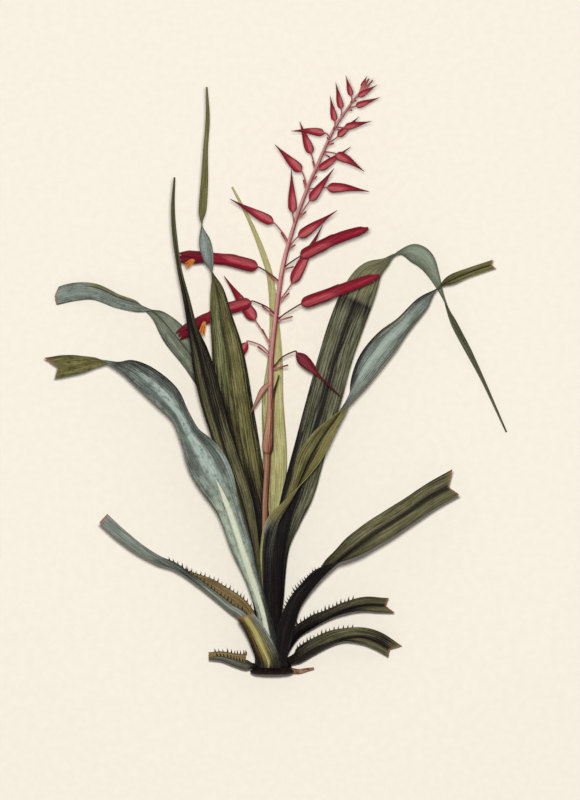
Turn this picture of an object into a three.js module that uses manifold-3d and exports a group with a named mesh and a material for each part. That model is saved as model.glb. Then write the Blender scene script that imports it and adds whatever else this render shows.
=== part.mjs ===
// A flowering Pitcairnia lifted from the soil and laid on its back: crown, strap leaves and a raceme.
// Millimetres. The crown's flat rest spot is the origin, the plant's axis runs along +Y, and +Z points up.
import * as THREE from 'three';
import { mergeVertices } from 'three/addons/utils/BufferGeometryUtils.js';
import Module from 'manifold-3d';

const wasm = await Module();
wasm.setup();

// Driving dimensions
const CROWN_RADIUS = 15.5;
const CROWN_AXIS_HEIGHT = 15;
const CROWN_BOTTOM_Y = -4.8;
const CROWN_SHOULDER_Y = -2;
const CROWN_CONE_SLOPE = 0.6;
const SEAT_GAP = 0.35;
const BLADE_THICKNESS = 0.95;
const BLADE_EDGE_THICKNESS = 0.7;
const BLADE_COLUMNS = 4;
const SECTIONS_PER_STATION = 2;
const SPINE_LENGTH = 1.9;
const SPINE_WIDTH = 1.2;
const SPINE_ROOT_DEPTH = 0.7;
const SPINE_LEAN = 0.5;
const BUD_SIDES = 8;
const FLOWER_SIDES = 12;
const PEDICEL_RADIUS = 0.8;
const PEDICEL_SIDES = 4;
const PEDICEL_BEND = 0.1;
const PEDICEL_STRAIGHT_END = 1.6;
const BRACT_LENGTH = 5;
const BRACT_TURN = 0.28;
const BRACT_RADIUS = 0.8;
const STEM_BRACT_THICKNESS = 0.7;

// Colours and finish
const COLOURS = {
  crown: { color: 0x4a3b2a, roughness: 0.9 },
  leaf: { color: 0x747045, roughness: 0.6 },
  leafGrey: { color: 0x8a9f94, roughness: 0.65 },
  leafPale: { color: 0xb4af6e, roughness: 0.6 },
  scape: { color: 0xcd7c70, roughness: 0.6 },
  bloom: { color: 0xa3303a, roughness: 0.55 },
};

const radians = THREE.MathUtils.degToRad;
const UP = new THREE.Vector3(0, 0, 1);

// Splines

// Uniform Catmull-Rom through rows of numbers, with the ends carried on in a straight line.
function splineRow(rows, u) {
  const last = rows.length - 1;
  const i = Math.min(Math.floor(u), last - 1);
  const t = u - i;
  const row = (k) => rows[k];
  const before = i > 0 ? row(i - 1) : row(0).map((v, c) => 2 * v - row(1)[c]);
  const after = i < last - 1 ? row(i + 2) : row(last).map((v, c) => 2 * v - row(last - 1)[c]);
  return row(i).map((p1, c) => {
    const p0 = before[c];
    const p2 = row(i + 1)[c];
    const p3 = after[c];
    const square = 2 * p0 - 5 * p1 + 4 * p2 - p3;
    const cube = -p0 + 3 * p1 - 3 * p2 + p3;
    return 0.5 * (2 * p1 + (p2 - p0) * t + square * t * t + cube * t * t * t);
  });
}

function splinePoint(rows, u) {
  const [x, y, z] = splineRow(rows, u);
  return new THREE.Vector3(x, y, z);
}

function splineTangent(rows, u) {
  const step = 0.02;
  const last = rows.length - 1;
  const ahead = splinePoint(rows, Math.min(u + step, last));
  const behind = splinePoint(rows, Math.max(u - step, 0));
  return ahead.sub(behind).normalize();
}

// Closed bodies from rings of points

// Every ring has the same number of points, listed anticlockwise seen from the far end.
function bodyFromRings(rings, capTriangles) {
  const count = rings[0].length;
  const positions = rings.flat().flatMap((p) => [p.x, p.y, p.z]);
  const index = [];
  for (let r = 0; r < rings.length - 1; r += 1) {
    for (let k = 0; k < count; k += 1) {
      const a = r * count + k;
      const b = r * count + ((k + 1) % count);
      index.push(a, b, b + count, a, b + count, a + count);
    }
  }
  const far = (rings.length - 1) * count;
  for (const [a, b, c] of capTriangles) {
    index.push(a, c, b, far + a, far + b, far + c);
  }
  const geometry = new THREE.BufferGeometry();
  geometry.setAttribute('position', new THREE.Float32BufferAttribute(positions, 3));
  geometry.setIndex(index);
  return geometry;
}

// A tube of changing radius along a spline; radiusAt takes the share of the length and the angle.
function taperedTube(rows, radiusAt, sides, sections) {
  const rings = [];
  let side = null;
  for (let r = 0; r <= sections; r += 1) {
    const share = r / sections;
    const u = share * (rows.length - 1);
    const centre = splinePoint(rows, u);
    const tangent = splineTangent(rows, u);
    if (!side) {
      side = new THREE.Vector3().crossVectors(UP, tangent).normalize();
    }
    side.addScaledVector(tangent, -side.dot(tangent)).normalize();
    const front = new THREE.Vector3().crossVectors(tangent, side);
    const ring = [];
    for (let k = 0; k < sides; k += 1) {
      const angle = (k / sides) * 2 * Math.PI;
      const radius = radiusAt(share, angle);
      ring.push(
        centre.clone()
          .addScaledVector(side, radius * Math.cos(angle))
          .addScaledVector(front, radius * Math.sin(angle)),
      );
    }
    rings.push(ring);
  }
  const fan = [];
  for (let k = 1; k < sides - 1; k += 1) {
    fan.push([0, k, k + 1]);
  }
  return bodyFromRings(rings, fan);
}

// Blades

// Across a blade: distance out from the rib and height above it at s from -1 to 1, with the surface's slope.
function crossSection(s, width, curl, fold) {
  const half = width / 2;
  const bend = Math.max(curl, 0.02) / 2;
  const side = Math.sign(s);
  const reach = Math.abs(s);
  const slope = fold + reach * bend;
  return {
    out: (side * half * (Math.sin(slope) - Math.sin(fold))) / bend,
    rise: (half * (Math.cos(fold) - Math.cos(slope))) / bend,
    slope: side * slope,
  };
}

// The frame of a blade at u: point on the rib, along, out to the side, and the upper face's normal.
function bladeFrame(rows, u) {
  const [x, y, z, width, roll, curl, fold] = splineRow(rows, u);
  const along = splineTangent(rows, u);
  const level = UP.clone().addScaledVector(along, -along.z).normalize();
  const sideways = new THREE.Vector3().crossVectors(along, level);
  const turn = radians(roll);
  const normal = level.multiplyScalar(Math.cos(turn)).addScaledVector(sideways, Math.sin(turn));
  const out = new THREE.Vector3().crossVectors(along, normal);
  return {
    point: new THREE.Vector3(x, y, z),
    along,
    out,
    normal,
    width: Math.max(width, 1),
    curl: radians(curl),
    fold: radians(fold),
  };
}

function bladeSurface(frame, s) {
  const { out, rise, slope } = crossSection(s, frame.width, frame.curl, frame.fold);
  const point = frame.point.clone().addScaledVector(frame.out, out).addScaledVector(frame.normal, rise);
  const normal = frame.normal.clone().multiplyScalar(Math.cos(slope));
  normal.addScaledVector(frame.out, -Math.sin(slope));
  return { point, normal };
}

// A thin closed ribbon over the stations, its two faces split into triangles alike.
// notch moves the end's corners on past its middle, or back if negative, and skew slants the end's cut.
function bladeGeometry(rows, { columns, perStation, thickness, edgeThickness, notch = 0, skew = 0 }) {
  const sections = (rows.length - 1) * perStation;
  const rings = [];
  for (let r = 0; r <= sections; r += 1) {
    const frame = bladeFrame(rows, r / perStation);
    const upper = [];
    const lower = [];
    for (let c = 0; c <= columns; c += 1) {
      const s = -1 + (2 * c) / columns;
      const { point, normal } = bladeSurface(frame, s);
      if (r === sections) {
        point.addScaledVector(frame.along, notch * (Math.abs(s) - 0.5) + skew * s);
      }
      const half = (thickness + (edgeThickness - thickness) * s * s) / 2;
      upper.push(point.clone().addScaledVector(normal, half));
      lower.push(point.clone().addScaledVector(normal, -half));
    }
    rings.push([...upper, ...lower.reverse()]);
  }
  const last = 2 * columns + 1;
  const cap = [];
  for (let c = 0; c < columns; c += 1) {
    cap.push([c, c + 1, last - c - 1], [c, last - c - 1, last - c]);
  }
  return bodyFromRings(rings, cap);
}

// Joining

function toSolid(geometry) {
  const bare = geometry.clone();
  bare.deleteAttribute('normal');
  bare.deleteAttribute('uv');
  const merged = mergeVertices(bare, 1e-4);
  return new wasm.Manifold(new wasm.Mesh({
    numProp: 3,
    vertProperties: new Float32Array(merged.attributes.position.array),
    triVerts: new Uint32Array(merged.index.array),
  }));
}

function toGeometry(solid) {
  const mesh = solid.getMesh();
  const geometry = new THREE.BufferGeometry();
  geometry.setAttribute('position', new THREE.Float32BufferAttribute(mesh.vertProperties, 3));
  geometry.setIndex(new THREE.BufferAttribute(new Uint32Array(mesh.triVerts), 1));
  return geometry;
}

function fuse(geometries) {
  const [first, ...rest] = geometries.map(toSolid);
  return toGeometry(rest.reduce((whole, piece) => whole.add(piece), first));
}

function makeMesh(name, geometry, look) {
  const flat = geometry.clone();
  flat.computeVertexNormals();
  const material = new THREE.MeshStandardMaterial({ ...COLOURS[look], metalness: 0 });
  const mesh = new THREE.Mesh(flat, material);
  mesh.name = name;
  return mesh;
}

// Crown

function coneHeight(radius) {
  return CROWN_SHOULDER_Y + CROWN_CONE_SLOPE * (CROWN_RADIUS - radius);
}

function makeCrown() {
  const profile = [
    [0, CROWN_BOTTOM_Y],
    [9, CROWN_BOTTOM_Y],
    [14, CROWN_BOTTOM_Y + 0.7],
    [CROWN_RADIUS, CROWN_BOTTOM_Y + 1.6],
    [CROWN_RADIUS, CROWN_SHOULDER_Y],
    [0, coneHeight(0)],
  ];
  const crown = new THREE.LatheGeometry(profile.map(([r, y]) => new THREE.Vector2(r, y)), 28);
  crown.rotateY(Math.PI / 28);
  crown.translate(0, 0, CROWN_AXIS_HEIGHT);
  const rootPath = [[12, -2.2, 7], [20, -2.6, 5], [29.5, -0.8, 2.6]];
  const root = taperedTube(rootPath, (share) => 2.4 - 1.2 * share, 6, 4);
  const floorCut = new THREE.BoxGeometry(80, 40, 10);
  floorCut.translate(0, 0, -5);
  const whole = toSolid(crown).add(toSolid(root)).subtract(toSolid(floorCut));
  return makeMesh('crown', toGeometry(whole), 'crown');
}

// Leaves
// A station is x, y, z of the rib, then width, roll, curl and fold.
// Roll 0 turns the olive upper face to the sky, 180 the grey underside.
// Curl and fold bend both sides of the blade up towards its upper face.
// sheath gives the azimuth round the plant's axis, the radius and the half span of the clasping base.
const LEAVES = [
  {
    name: 'leaf_arch_left',
    look: 'leafGrey',
    sheath: { azimuth: -112, radius: 10.2, halfSpan: 38, rise: 9 },
    stations: [
      [-7, 32, 4.2, 11, 18, 75, 0],
      [-11, 64, 4.2, 11, 12, 60, 0],
      [-15.5, 105, 7.5, 15, 8, 45, 0],
      [-24, 150, 10, 17, 5, 30, 0],
      [-38, 187, 11, 17, 0, 26, 0],
      [-52, 212, 12, 17, 0, 26, 0],
      [-68, 233, 13, 17.4, -5, 26, 0],
      [-79, 246, 13.5, 11.4, -30, 26, 0],
      [-87.2, 251.8, 13, 9, -90, 130, 0],
      [-96, 254, 12.5, 9.5, -150, 40, 10],
      [-109, 257.5, 11, 10, -170, 36, 10],
      [-124, 263.5, 7, 11.5, -175, 40, 0],
      [-138, 263.5, 3.2, 13, -180, 36, 0],
      [-151.6, 260.3, 2, 12.4, -180, 30, 0],
    ],
    notch: -2,
    skew: 2.2,
  },
  {
    name: 'leaf_broad_left',
    look: 'leafGrey',
    sheath: { azimuth: 95, radius: 10.2, halfSpan: 40, rise: 9 },
    stations: [
      [-4.8, 33, 30, 11, -187, 85, 0],
      [-9, 48, 33.5, 9.6, -186, 70, 0],
      [-14.7, 65, 37.5, 9.8, -185, 60, 0],
      [-21.7, 86, 42.5, 15, -183, 50, 0],
      [-30.1, 111, 47.5, 16.5, -181, 45, 0],
      [-38, 130, 50, 25, -180, 36, 0],
      [-45, 143.5, 51.5, 27, -180, 30, 0],
      [-51.2, 154, 52, 22.5, -180, 30, 0],
      [-57.4, 163.8, 52, 15, -180, 34, 0],
      [-64, 177, 51.5, 13, -181, 36, 0],
      [-73.4, 190.2, 49.5, 18.6, -181, 30, 0],
      [-88, 203, 46, 17.5, -178, 28, 0],
      [-101, 211, 41.5, 12, -165, 26, 0],
      [-112.5, 214.6, 37, 7, -90, 100, 10],
      [-122, 214.7, 34, 8.5, -25, 20, 25],
      [-134, 212.6, 30, 14.5, 0, 20, 25],
      [-145, 211.4, 26.5, 17.5, 0, 20, 25],
      [-152, 210.4, 24, 17.5, 0, 20, 25],
    ],
    notch: 4.5,
    skew: 3,
  },
  {
    name: 'leaf_cut_left',
    look: 'leafGrey',
    sheath: { azimuth: -200, radius: 11.8, halfSpan: 38, rise: 7 },
    stations: [
      [-15, 21, 22.5, 19, 96, 80, 15],
      [-21.5, 33, 25.5, 25, 72, 70, 34],
      [-31, 41.5, 26.5, 26, 60, 70, 38],
      [-41.5, 50.3, 27.5, 22, 62, 70, 35],
      [-52.5, 59, 30, 16.5, 75, 80, 25],
      [-66, 68.4, 33, 11.5, 105, 80, 12],
      [-79.5, 75.5, 35, 7, 150, 60, 0],
      [-93, 84, 36, 7, 172, 40, 0],
      [-106, 94, 36, 8, 178, 36, 0],
      [-118, 105, 35, 8.2, 180, 36, 0],
    ],
    spines: { from: 2.6, to: 7.2, pitch: 4.6, sides: [-1, 1] },
  },
  {
    name: 'leaf_stub_front',
    look: 'leafPale',
    sheath: { azimuth: 100, radius: 13.5, halfSpan: 36, rise: 5 },
    stations: [
      [-6.5, 15, 33.5, 16.5, -190, 80, 0],
      [-12.5, 27, 38.5, 14, -187, 80, 0],
      [-18.7, 36.6, 43.5, 11.4, -185, 80, 0],
    ],
    skew: 1.5,
  },
  {
    name: 'leaf_stub_left',
    look: 'leafGrey',
    sheath: { azimuth: -168, radius: 14.5, halfSpan: 40, rise: 0.6 },
    stations: [
      [-18.6, -0.9, 13.5, 23.5, 65, 72, 28],
      [-26.5, 1.6, 14.5, 19.5, 68, 96, 28],
      [-35, 4.9, 15.5, 14.8, 75, 100, 22],
      [-43.5, 6.2, 17, 11, 77, 100, 15],
    ],
    notch: -1,
    skew: 1.5,
    spines: { from: 2.25, to: 4.6, pitch: 3.6, sides: [-1, 1] },
  },
  {
    name: 'leaf_narrow_left',
    look: 'leaf',
    sheath: { azimuth: -175, radius: 8.6, halfSpan: 38, rise: 9 },
    stations: [
      [-10.2, 44, 16.8, 9.5, 82, 90, 0],
      [-13, 80, 24.6, 11.5, 55, 80, 0],
      [-21, 116, 31, 15, 35, 60, 8],
      [-32, 150, 38, 17, 22, 40, 15],
      [-41, 180, 43, 18, 15, 30, 20],
      [-47, 204, 46.5, 17, 10, 26, 20],
      [-51, 222, 49, 13, 8, 26, 20],
      [-55.5, 238, 51, 7.5, 5, 26, 20],
      [-59.5, 257, 52.5, 5, 5, 26, 15],
      [-64.5, 279, 54, 3.2, 5, 26, 10],
      [-67.8, 302, 55, 3.2, 5, 26, 0],
      [-69, 322, 54.5, 2.6, 5, 26, 0],
      [-68, 343, 53, 1.2, 5, 20, 0],
    ],
  },
  {
    name: 'leaf_tall',
    look: 'leaf',
    sheath: { azimuth: -162, radius: 5.2, halfSpan: 48, rise: 9 },
    stations: [
      [-4.4, 42, 12.6, 9, 45, 90, 0],
      [-5, 78, 12.4, 10.5, 18, 60, 0],
      [-12.5, 114, 16, 20, 15, 48, 5],
      [-19.5, 146, 22.5, 25, 10, 34, 8],
      [-25.5, 178, 29.5, 27, 2, 26, 10],
      [-29, 205, 35.5, 25.5, 0, 24, 10],
      [-31.5, 225, 40, 22, 0, 24, 10],
      [-35, 243, 44.5, 17, 0, 24, 10],
      [-38, 262, 48.5, 10.5, 5, 24, 5],
      [-42, 275, 50.5, 5.6, 75, 30, 10],
      [-44.4, 285.5, 51.5, 8.4, 150, 30, 0],
      [-46.7, 298, 52, 8.4, 190, 30, 0],
      [-48.8, 309.5, 52.5, 3.8, 265, 20, 0],
      [-48.3, 321, 53, 5.6, 345, 30, 0],
      [-47, 341, 53.5, 5, 360, 30, 0],
      [-46.3, 362, 54, 3.3, 360, 30, 0],
      [-44.8, 384, 54, 2.8, 360, 30, 0],
      [-45.5, 406, 53, 1.2, 360, 20, 0],
    ],
  },
  {
    name: 'leaf_pale',
    look: 'leafPale',
    sheath: { azimuth: -90, radius: 7, halfSpan: 36, rise: 9 },
    stations: [
      [-0.3, 42, 7.8, 7, 0, 90, 0],
      [-0.3, 85, 8, 8.5, 0, 55, 0],
      [1, 122, 10.5, 16, 0, 36, 0],
      [2, 150, 12.5, 17, 0, 30, 0],
      [0.5, 187, 14, 15, 0, 26, 0],
      [2.1, 216, 14.5, 10.5, 0, 26, 0],
      [1.6, 244, 14, 6.4, 0, 26, 0],
      [-1, 272, 13, 4.4, 0, 26, 0],
      [-6.5, 291, 12, 3.8, 0, 26, 0],
      [-16, 314, 10, 2.4, 0, 26, 0],
      [-28, 337, 8, 1.2, 0, 20, 0],
    ],
  },
  {
    name: 'leaf_arch_right',
    look: 'leaf',
    sheath: { azimuth: -18, radius: 5.2, halfSpan: 50, rise: 9 },
    stations: [
      [6.3, 44, 13.5, 9.5, -50, 95, 0],
      [8, 80, 14.5, 12, -35, 90, 0],
      [12.5, 104, 16, 18.5, -20, 55, 0],
      [19, 124, 17.5, 23, -8, 36, 5],
      [26, 150, 18.5, 23.5, -4, 28, 8],
      [36.2, 187, 20, 24.6, 0, 24, 8],
      [44.2, 216.4, 21.5, 24.2, 0, 24, 8],
      [51.3, 238.3, 22.5, 25, 0, 24, 8],
      [59, 258, 23.5, 24.4, 0, 24, 8],
      [68.8, 275.4, 24, 19.8, -25, 24, 5],
      [80, 283.6, 23.5, 11.5, -60, 40, 0],
      [88, 289.6, 22.5, 8, -100, 90, 0],
      [98.5, 290.5, 20, 13.5, -160, 26, 5],
      [107, 286, 16.5, 14, -180, 26, 10],
      [113, 277, 13, 9.5, -195, 26, 10],
      [118.6, 265.5, 10, 6, -235, 60, 5],
      [123, 253, 8, 4.6, -285, 90, 0],
      [128.8, 239, 6, 4.8, -340, 24, 0],
      [137.6, 222.3, 4, 4.4, -360, 20, 0],
      [148.3, 200.8, 2.2, 2.6, -360, 20, 0],
      [164.5, 165, 0.7, 1.2, -360, 20, 0],
    ],
  },
  {
    name: 'leaf_fold_right',
    look: 'leaf',
    sheath: { azimuth: 90, radius: 8.6, halfSpan: 52, rise: 9 },
    stations: [
      [-1.6, 44, 27, 12.5, -176, 110, 0],
      [-1.2, 70, 31.5, 14, -160, 100, 5],
      [-0.2, 86, 34.5, 16, -152, 85, 12],
      [3.6, 101, 37.2, 17, -126, 60, 26],
      [13.5, 117.5, 39.5, 13.5, -82, 44, 26],
      [20, 131, 41, 14, -50, 34, 20],
      [27, 147, 42, 18, -20, 28, 12],
      [35, 161.5, 42.5, 14.5, 0, 24, 10],
      [43.6, 173.6, 43, 9.6, 30, 24, 20],
      [51, 185.5, 43, 10.5, 88, 24, 28],
      [58.6, 198.6, 42.5, 14, 145, 26, 15],
      [69.5, 215.4, 41, 18, 175, 28, 0],
      [80.8, 229.2, 38, 17.4, 180, 28, 0],
      [91.9, 240.6, 34, 12, 180, 28, 0],
      [104, 254, 29.5, 10, 180, 26, 0],
      [115.5, 265, 26, 4, 265, 20, 0],
      [125, 271, 24.5, 8, 330, 40, 10],
      [137, 276.5, 23, 7, 355, 60, 10],
      [154.5, 282.5, 21, 6.5, 360, 40, 5],
    ],
    notch: 2,
  },
  {
    name: 'leaf_cut_right_upper',
    look: 'leaf',
    sheath: { azimuth: 50, radius: 11.8, halfSpan: 30, rise: 7 },
    stations: [
      [11.8, 28, 29, 16, -140, 66, 10],
      [19.2, 45.1, 34, 17, -132, 66, 15],
      [29, 57, 37, 18.4, -118, 62, 22],
      [39.2, 67.4, 38.5, 18, -88, 56, 26],
      [48.9, 76.6, 38.5, 18.5, -54, 44, 16],
      [60, 85.6, 38, 19, -30, 30, 10],
      [74.5, 96.1, 36, 19.4, -15, 26, 8],
      [93.5, 108.2, 32, 18.6, -12, 26, 8],
      [111.5, 120.2, 28, 18.6, -10, 26, 8],
      [126, 128.3, 25, 18.8, -8, 24, 8],
    ],
    notch: 6,
    skew: -2.5,
    spines: { from: 2.4, to: 5.3, pitch: 3.6, sides: [1] },
  },
  {
    name: 'leaf_cut_right_middle',
    look: 'leaf',
    sheath: { azimuth: -14, radius: 10.2, halfSpan: 25, rise: 6 },
    stations: [
      [18.2, 21, 13.6, 16.6, -68, 66, 25],
      [28.8, 28.4, 17, 16.4, -64, 66, 25],
      [40.7, 35.2, 18, 14.2, -58, 60, 20],
      [52.5, 40.4, 17.5, 13, -48, 50, 14],
      [66, 43.6, 15.5, 12.5, -32, 40, 10],
      [81.5, 43.2, 12, 11.8, -25, 30, 10],
    ],
    notch: 4,
    skew: 1.8,
    spines: { from: 2.2, to: 5.6, pitch: 4, sides: [-1] },
  },
  {
    name: 'leaf_cut_right_lower',
    look: 'leaf',
    sheath: { azimuth: -22, radius: 13.5, halfSpan: 30, rise: 2.5 },
    stations: [
      [19.5, 3.8, 10.5, 20, -64, 70, 30],
      [30, 9.8, 11.5, 22, -60, 70, 35],
      [41, 15.8, 12.5, 19.6, -56, 60, 32],
      [52, 20.2, 13, 16.5, -48, 50, 22],
      [63, 21.1, 12.5, 15, -36, 36, 14],
      [73.5, 18, 11, 15, -30, 30, 10],
      [84, 11.8, 9, 13.4, -30, 30, 10],
    ],
    notch: 3.6,
    skew: -3,
    spines: { from: 2.2, to: 5.6, pitch: 3.8, sides: [-1, 1] },
  },
];

// The two first stations clasp the crown as part of a cylinder round the plant's axis.
function sheathStations({ azimuth, radius, halfSpan, rise }) {
  const angle = radians(azimuth);
  const x = radius * Math.cos(angle);
  const z = CROWN_AXIS_HEIGHT + radius * Math.sin(angle);
  const width = 2 * radians(halfSpan) * radius;
  const seatY = coneHeight(radius - BLADE_THICKNESS) + SEAT_GAP;
  const station = (y) => [x, y, z, width, -90 - azimuth, 2 * halfSpan, 0];
  return [station(seatY), station(seatY + rise)];
}

function leafRows(leaf) {
  return [...sheathStations(leaf.sheath), ...leaf.stations];
}

// A point and its outward direction on the faceted edge of a blade, between two of its sections.
function edgeOfBlade(rows, u, side) {
  const behind = Math.floor(u * SECTIONS_PER_STATION) / SECTIONS_PER_STATION;
  const ahead = behind + 1 / SECTIONS_PER_STATION;
  const share = (u - behind) * SECTIONS_PER_STATION;
  const between = (s) => {
    const nearer = bladeSurface(bladeFrame(rows, behind), s).point;
    return nearer.lerp(bladeSurface(bladeFrame(rows, ahead), s).point, share);
  };
  const point = between(side);
  const inner = between(side * (1 - 2 / BLADE_COLUMNS));
  return { point, outward: point.clone().sub(inner).normalize() };
}

// A three-sided thorn whose root is sunk into the blade's edge and whose point leans to the leaf's tip.
function spineGeometry(rows, u, side) {
  const { along } = bladeFrame(rows, u);
  const { point, outward } = edgeOfBlade(rows, u, side);
  const across = new THREE.Vector3().crossVectors(outward, along).normalize();
  const root = point.clone().addScaledVector(outward, -SPINE_ROOT_DEPTH);
  const apex = point.clone()
    .addScaledVector(outward, SPINE_LENGTH)
    .addScaledVector(along, SPINE_LENGTH * SPINE_LEAN);
  const half = SPINE_WIDTH / 2;
  const thin = BLADE_EDGE_THICKNESS * 0.4;
  const corners = [
    root.clone().addScaledVector(along, -half).addScaledVector(across, -thin),
    root.clone().addScaledVector(along, half).addScaledVector(across, -thin),
    root.clone().addScaledVector(across, thin),
    apex,
  ];
  const positions = corners.flatMap((p) => p.toArray());
  const geometry = new THREE.BufferGeometry();
  geometry.setAttribute('position', new THREE.Float32BufferAttribute(positions, 3));
  geometry.setIndex([0, 2, 1, 0, 1, 3, 1, 2, 3, 2, 0, 3]);
  return geometry;
}

function spineGeometries(rows, { from, to, pitch, sides }) {
  const spines = [];
  for (const side of sides) {
    let travelled = pitch / 2;
    let previous = splinePoint(rows, from);
    for (let u = from; u <= to; u += 0.02) {
      const here = splinePoint(rows, u);
      travelled += here.distanceTo(previous);
      previous = here;
      if (travelled >= pitch) {
        travelled -= pitch;
        spines.push(spineGeometry(rows, u, side));
      }
    }
  }
  return spines;
}

function makeLeaf(leaf) {
  const rows = leafRows(leaf);
  const blade = bladeGeometry(rows, {
    columns: BLADE_COLUMNS,
    perStation: SECTIONS_PER_STATION,
    thickness: BLADE_THICKNESS,
    edgeThickness: BLADE_EDGE_THICKNESS,
    notch: leaf.notch,
    skew: leaf.skew,
  });
  const pieces = leaf.spines ? [blade, ...spineGeometries(rows, leaf.spines)] : [blade];
  return makeMesh(leaf.name, fuse(pieces), leaf.look);
}

// Raceme
// The axis: x, y, z and radius. It swells at the node where the last stem leaf clasps it.
const SCAPE_AXIS = [
  [0, 8, 15, 3],
  [-2.5, 40, 17, 2.6],
  [-4.2, 75, 21.5, 2.3],
  [-4.6, 112, 26.5, 2.1],
  [-3.2, 139, 29.7, 2.2],
  [-3, 149.5, 31, 2.4],
  [-2.8, 153, 31.4, 3.7],
  [-2.6, 158, 32, 3.9],
  [-1.8, 168, 32.8, 3.1],
  [-1.1, 179, 33.9, 2.5],
  [-0.9, 192, 34.9, 1.9],
  [-0.2, 218, 37.5, 1.8],
  [3, 247, 40.5, 1.7],
  [7.4, 279, 43, 1.6],
  [14.5, 306, 45, 1.4],
  [23.5, 332, 46.5, 1.3],
  [33.5, 355.5, 48, 1.15],
  [43.5, 377, 49, 1],
  [56, 395.5, 50, 0.85],
  [61.6, 402.5, 50, 0.75],
];

// Leafy bracts on the stem, as blade stations: a narrow clasping tip, and one that hangs away to the left.
const STEM_BRACTS = [
  [
    [0.2, 181, 35.9, 2.4, 0, 60, 0],
    [1.3, 192, 37.6, 2, 0, 60, 0],
    [5, 205, 39.5, 0.9, 0, 20, 0],
  ],
  [
    [-1.6, 200, 36.4, 2.6, 0, 60, 0],
    [-6.3, 194.6, 38.6, 4.2, 10, 50, 0],
    [-10.4, 187, 38.2, 2.7, 20, 50, 0],
    [-13.1, 182, 37.2, 1.6, 20, 30, 0],
    [-15.4, 177.4, 36, 0.9, 20, 20, 0],
  ],
];

// A bloom has a base and a tip, its greatest width, and the point where its stalk leaves the axis.
// bow bends the middle of its length towards +Y.
function bloom(name, base, tip, width, stem, bow = 0) {
  return { name, base, tip, width, stem, bow };
}

const BUDS = [
  bloom('bud_tip_first', [62.6, 406, 50.3], [66.5, 414, 51], 2.8, [61, 402, 50]),
  bloom('bud_tip_right', [60.5, 399.6, 53.2], [73.5, 407.5, 56], 4.2, [57.5, 397.5, 50]),
  bloom('bud_tip_lower', [58.6, 392.8, 47], [75.5, 399, 46], 4.6, [53.5, 391.5, 49.8]),
  bloom('bud_tip_left', [55.3, 400, 53], [51.5, 414, 57], 4, [55.6, 395, 50]),
  bloom('bud_left_first', [48.3, 391, 47.5], [44.5, 409.5, 47], 4.6, [48.7, 385.2, 49.5]),
  bloom('bud_left_second', [43.8, 382.5, 52], [40.6, 399.7, 55], 4.6, [43.2, 376.5, 49]),
  bloom('bud_right_first', [51, 378, 54], [69.3, 382, 60], 5, [44.5, 378.6, 49.2]),
  bloom('bud_right_second', [46, 371.7, 45.5], [60.9, 385.7, 43], 5, [38.8, 366.8, 48.6]),
  bloom('bud_left_third', [36.4, 373.8, 53.5], [13.3, 375.2, 57], 5.6, [40.6, 369.6, 48.8], 2),
  bloom('bud_left_fourth', [27.3, 359.8, 45], [19.3, 382.2, 43], 6.3, [30.1, 350, 47.8]),
  bloom('bud_right_third', [44.8, 359.1, 56], [64.4, 346.9, 62], 6.6, [37, 360.5, 48.4], 2),
  bloom('bud_right_fourth', [32.9, 348.6, 44], [55.3, 364.7, 41], 5.6, [28, 342, 47.2]),
  bloom('bud_left_fifth', [20.3, 347.2, 51], [2.1, 365.7, 55], 7, [23.8, 336.7, 46.9]),
  bloom('bud_left_sixth', [14.5, 318.5, 50], [13.5, 348.6, 54], 6.2, [16.1, 311.5, 45.4]),
  bloom('bud_right_fifth', [38.5, 336, 44], [67.9, 333.2, 46], 7, [24.6, 334.6, 46.7], 2),
  bloom('bud_right_sixth', [26.6, 326.9, 52], [43.4, 349.3, 60], 6.3, [19.6, 316.4, 45.7]),
  bloom('bud_left_seventh', [0.8, 311.4, 47], [-29.4, 328, 50], 7, [11.6, 297.5, 44.4]),
  bloom('bud_right_seventh', [18.6, 301.7, 50], [45.5, 319.9, 57], 7, [12.6, 294.7, 44.2]),
  bloom('bud_right_eighth', [14, 269.5, 39], [35.4, 309.8, 37], 7.8, [5.6, 257.6, 41.5]),
  bloom('bud_left_eighth', [-11.9, 243.6, 30], [-33.6, 274.4, 25], 8.4, [-1, 227.5, 38.4]),
  bloom('bud_left_ninth', [-17.5, 227.5, 34], [-33, 200, 28], 6.4, [-0.4, 219.1, 37.6], 3),
];

const CLOSED_FLOWERS = [
  bloom('flower_right_upper', [20, 288, 50], [67.2, 307.6, 57], 8.4, [8, 280, 43.1], 3.4),
  bloom('flower_right_lower', [20.5, 254.6, 46], [75, 274.8, 51], 8.6, [4.5, 244.3, 40.4], -0.4),
];

const OPEN_FLOWERS = [
  bloom('flower_left_upper', [-10, 280.5, 41], [-65.5, 287.2, 37], 9, [5.2, 270.2, 42.3], 6),
  bloom('flower_left_lower', [-14.7, 256.2, 37.6], [-65.6, 232.4, 31], 8.6, [2, 247.8, 40.7], 7),
];
// For each open flower, where its stamens leave the axis, from 0 to 2, and how far their tips lie from there.
const STAMEN_DROPS = {
  flower_left_upper: { from: 1.55, drop: [-7.5, -7, -1] },
  flower_left_lower: { from: 1.26, drop: [-2.5, -12, -1] },
};

const FADED_FLOWER = bloom(
  'flower_faded', [17.2, 220.5, 43.5], [47.6, 190.4, 38.5], 7.9, [1.2, 210.6, 36.7], -1,
);

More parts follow.
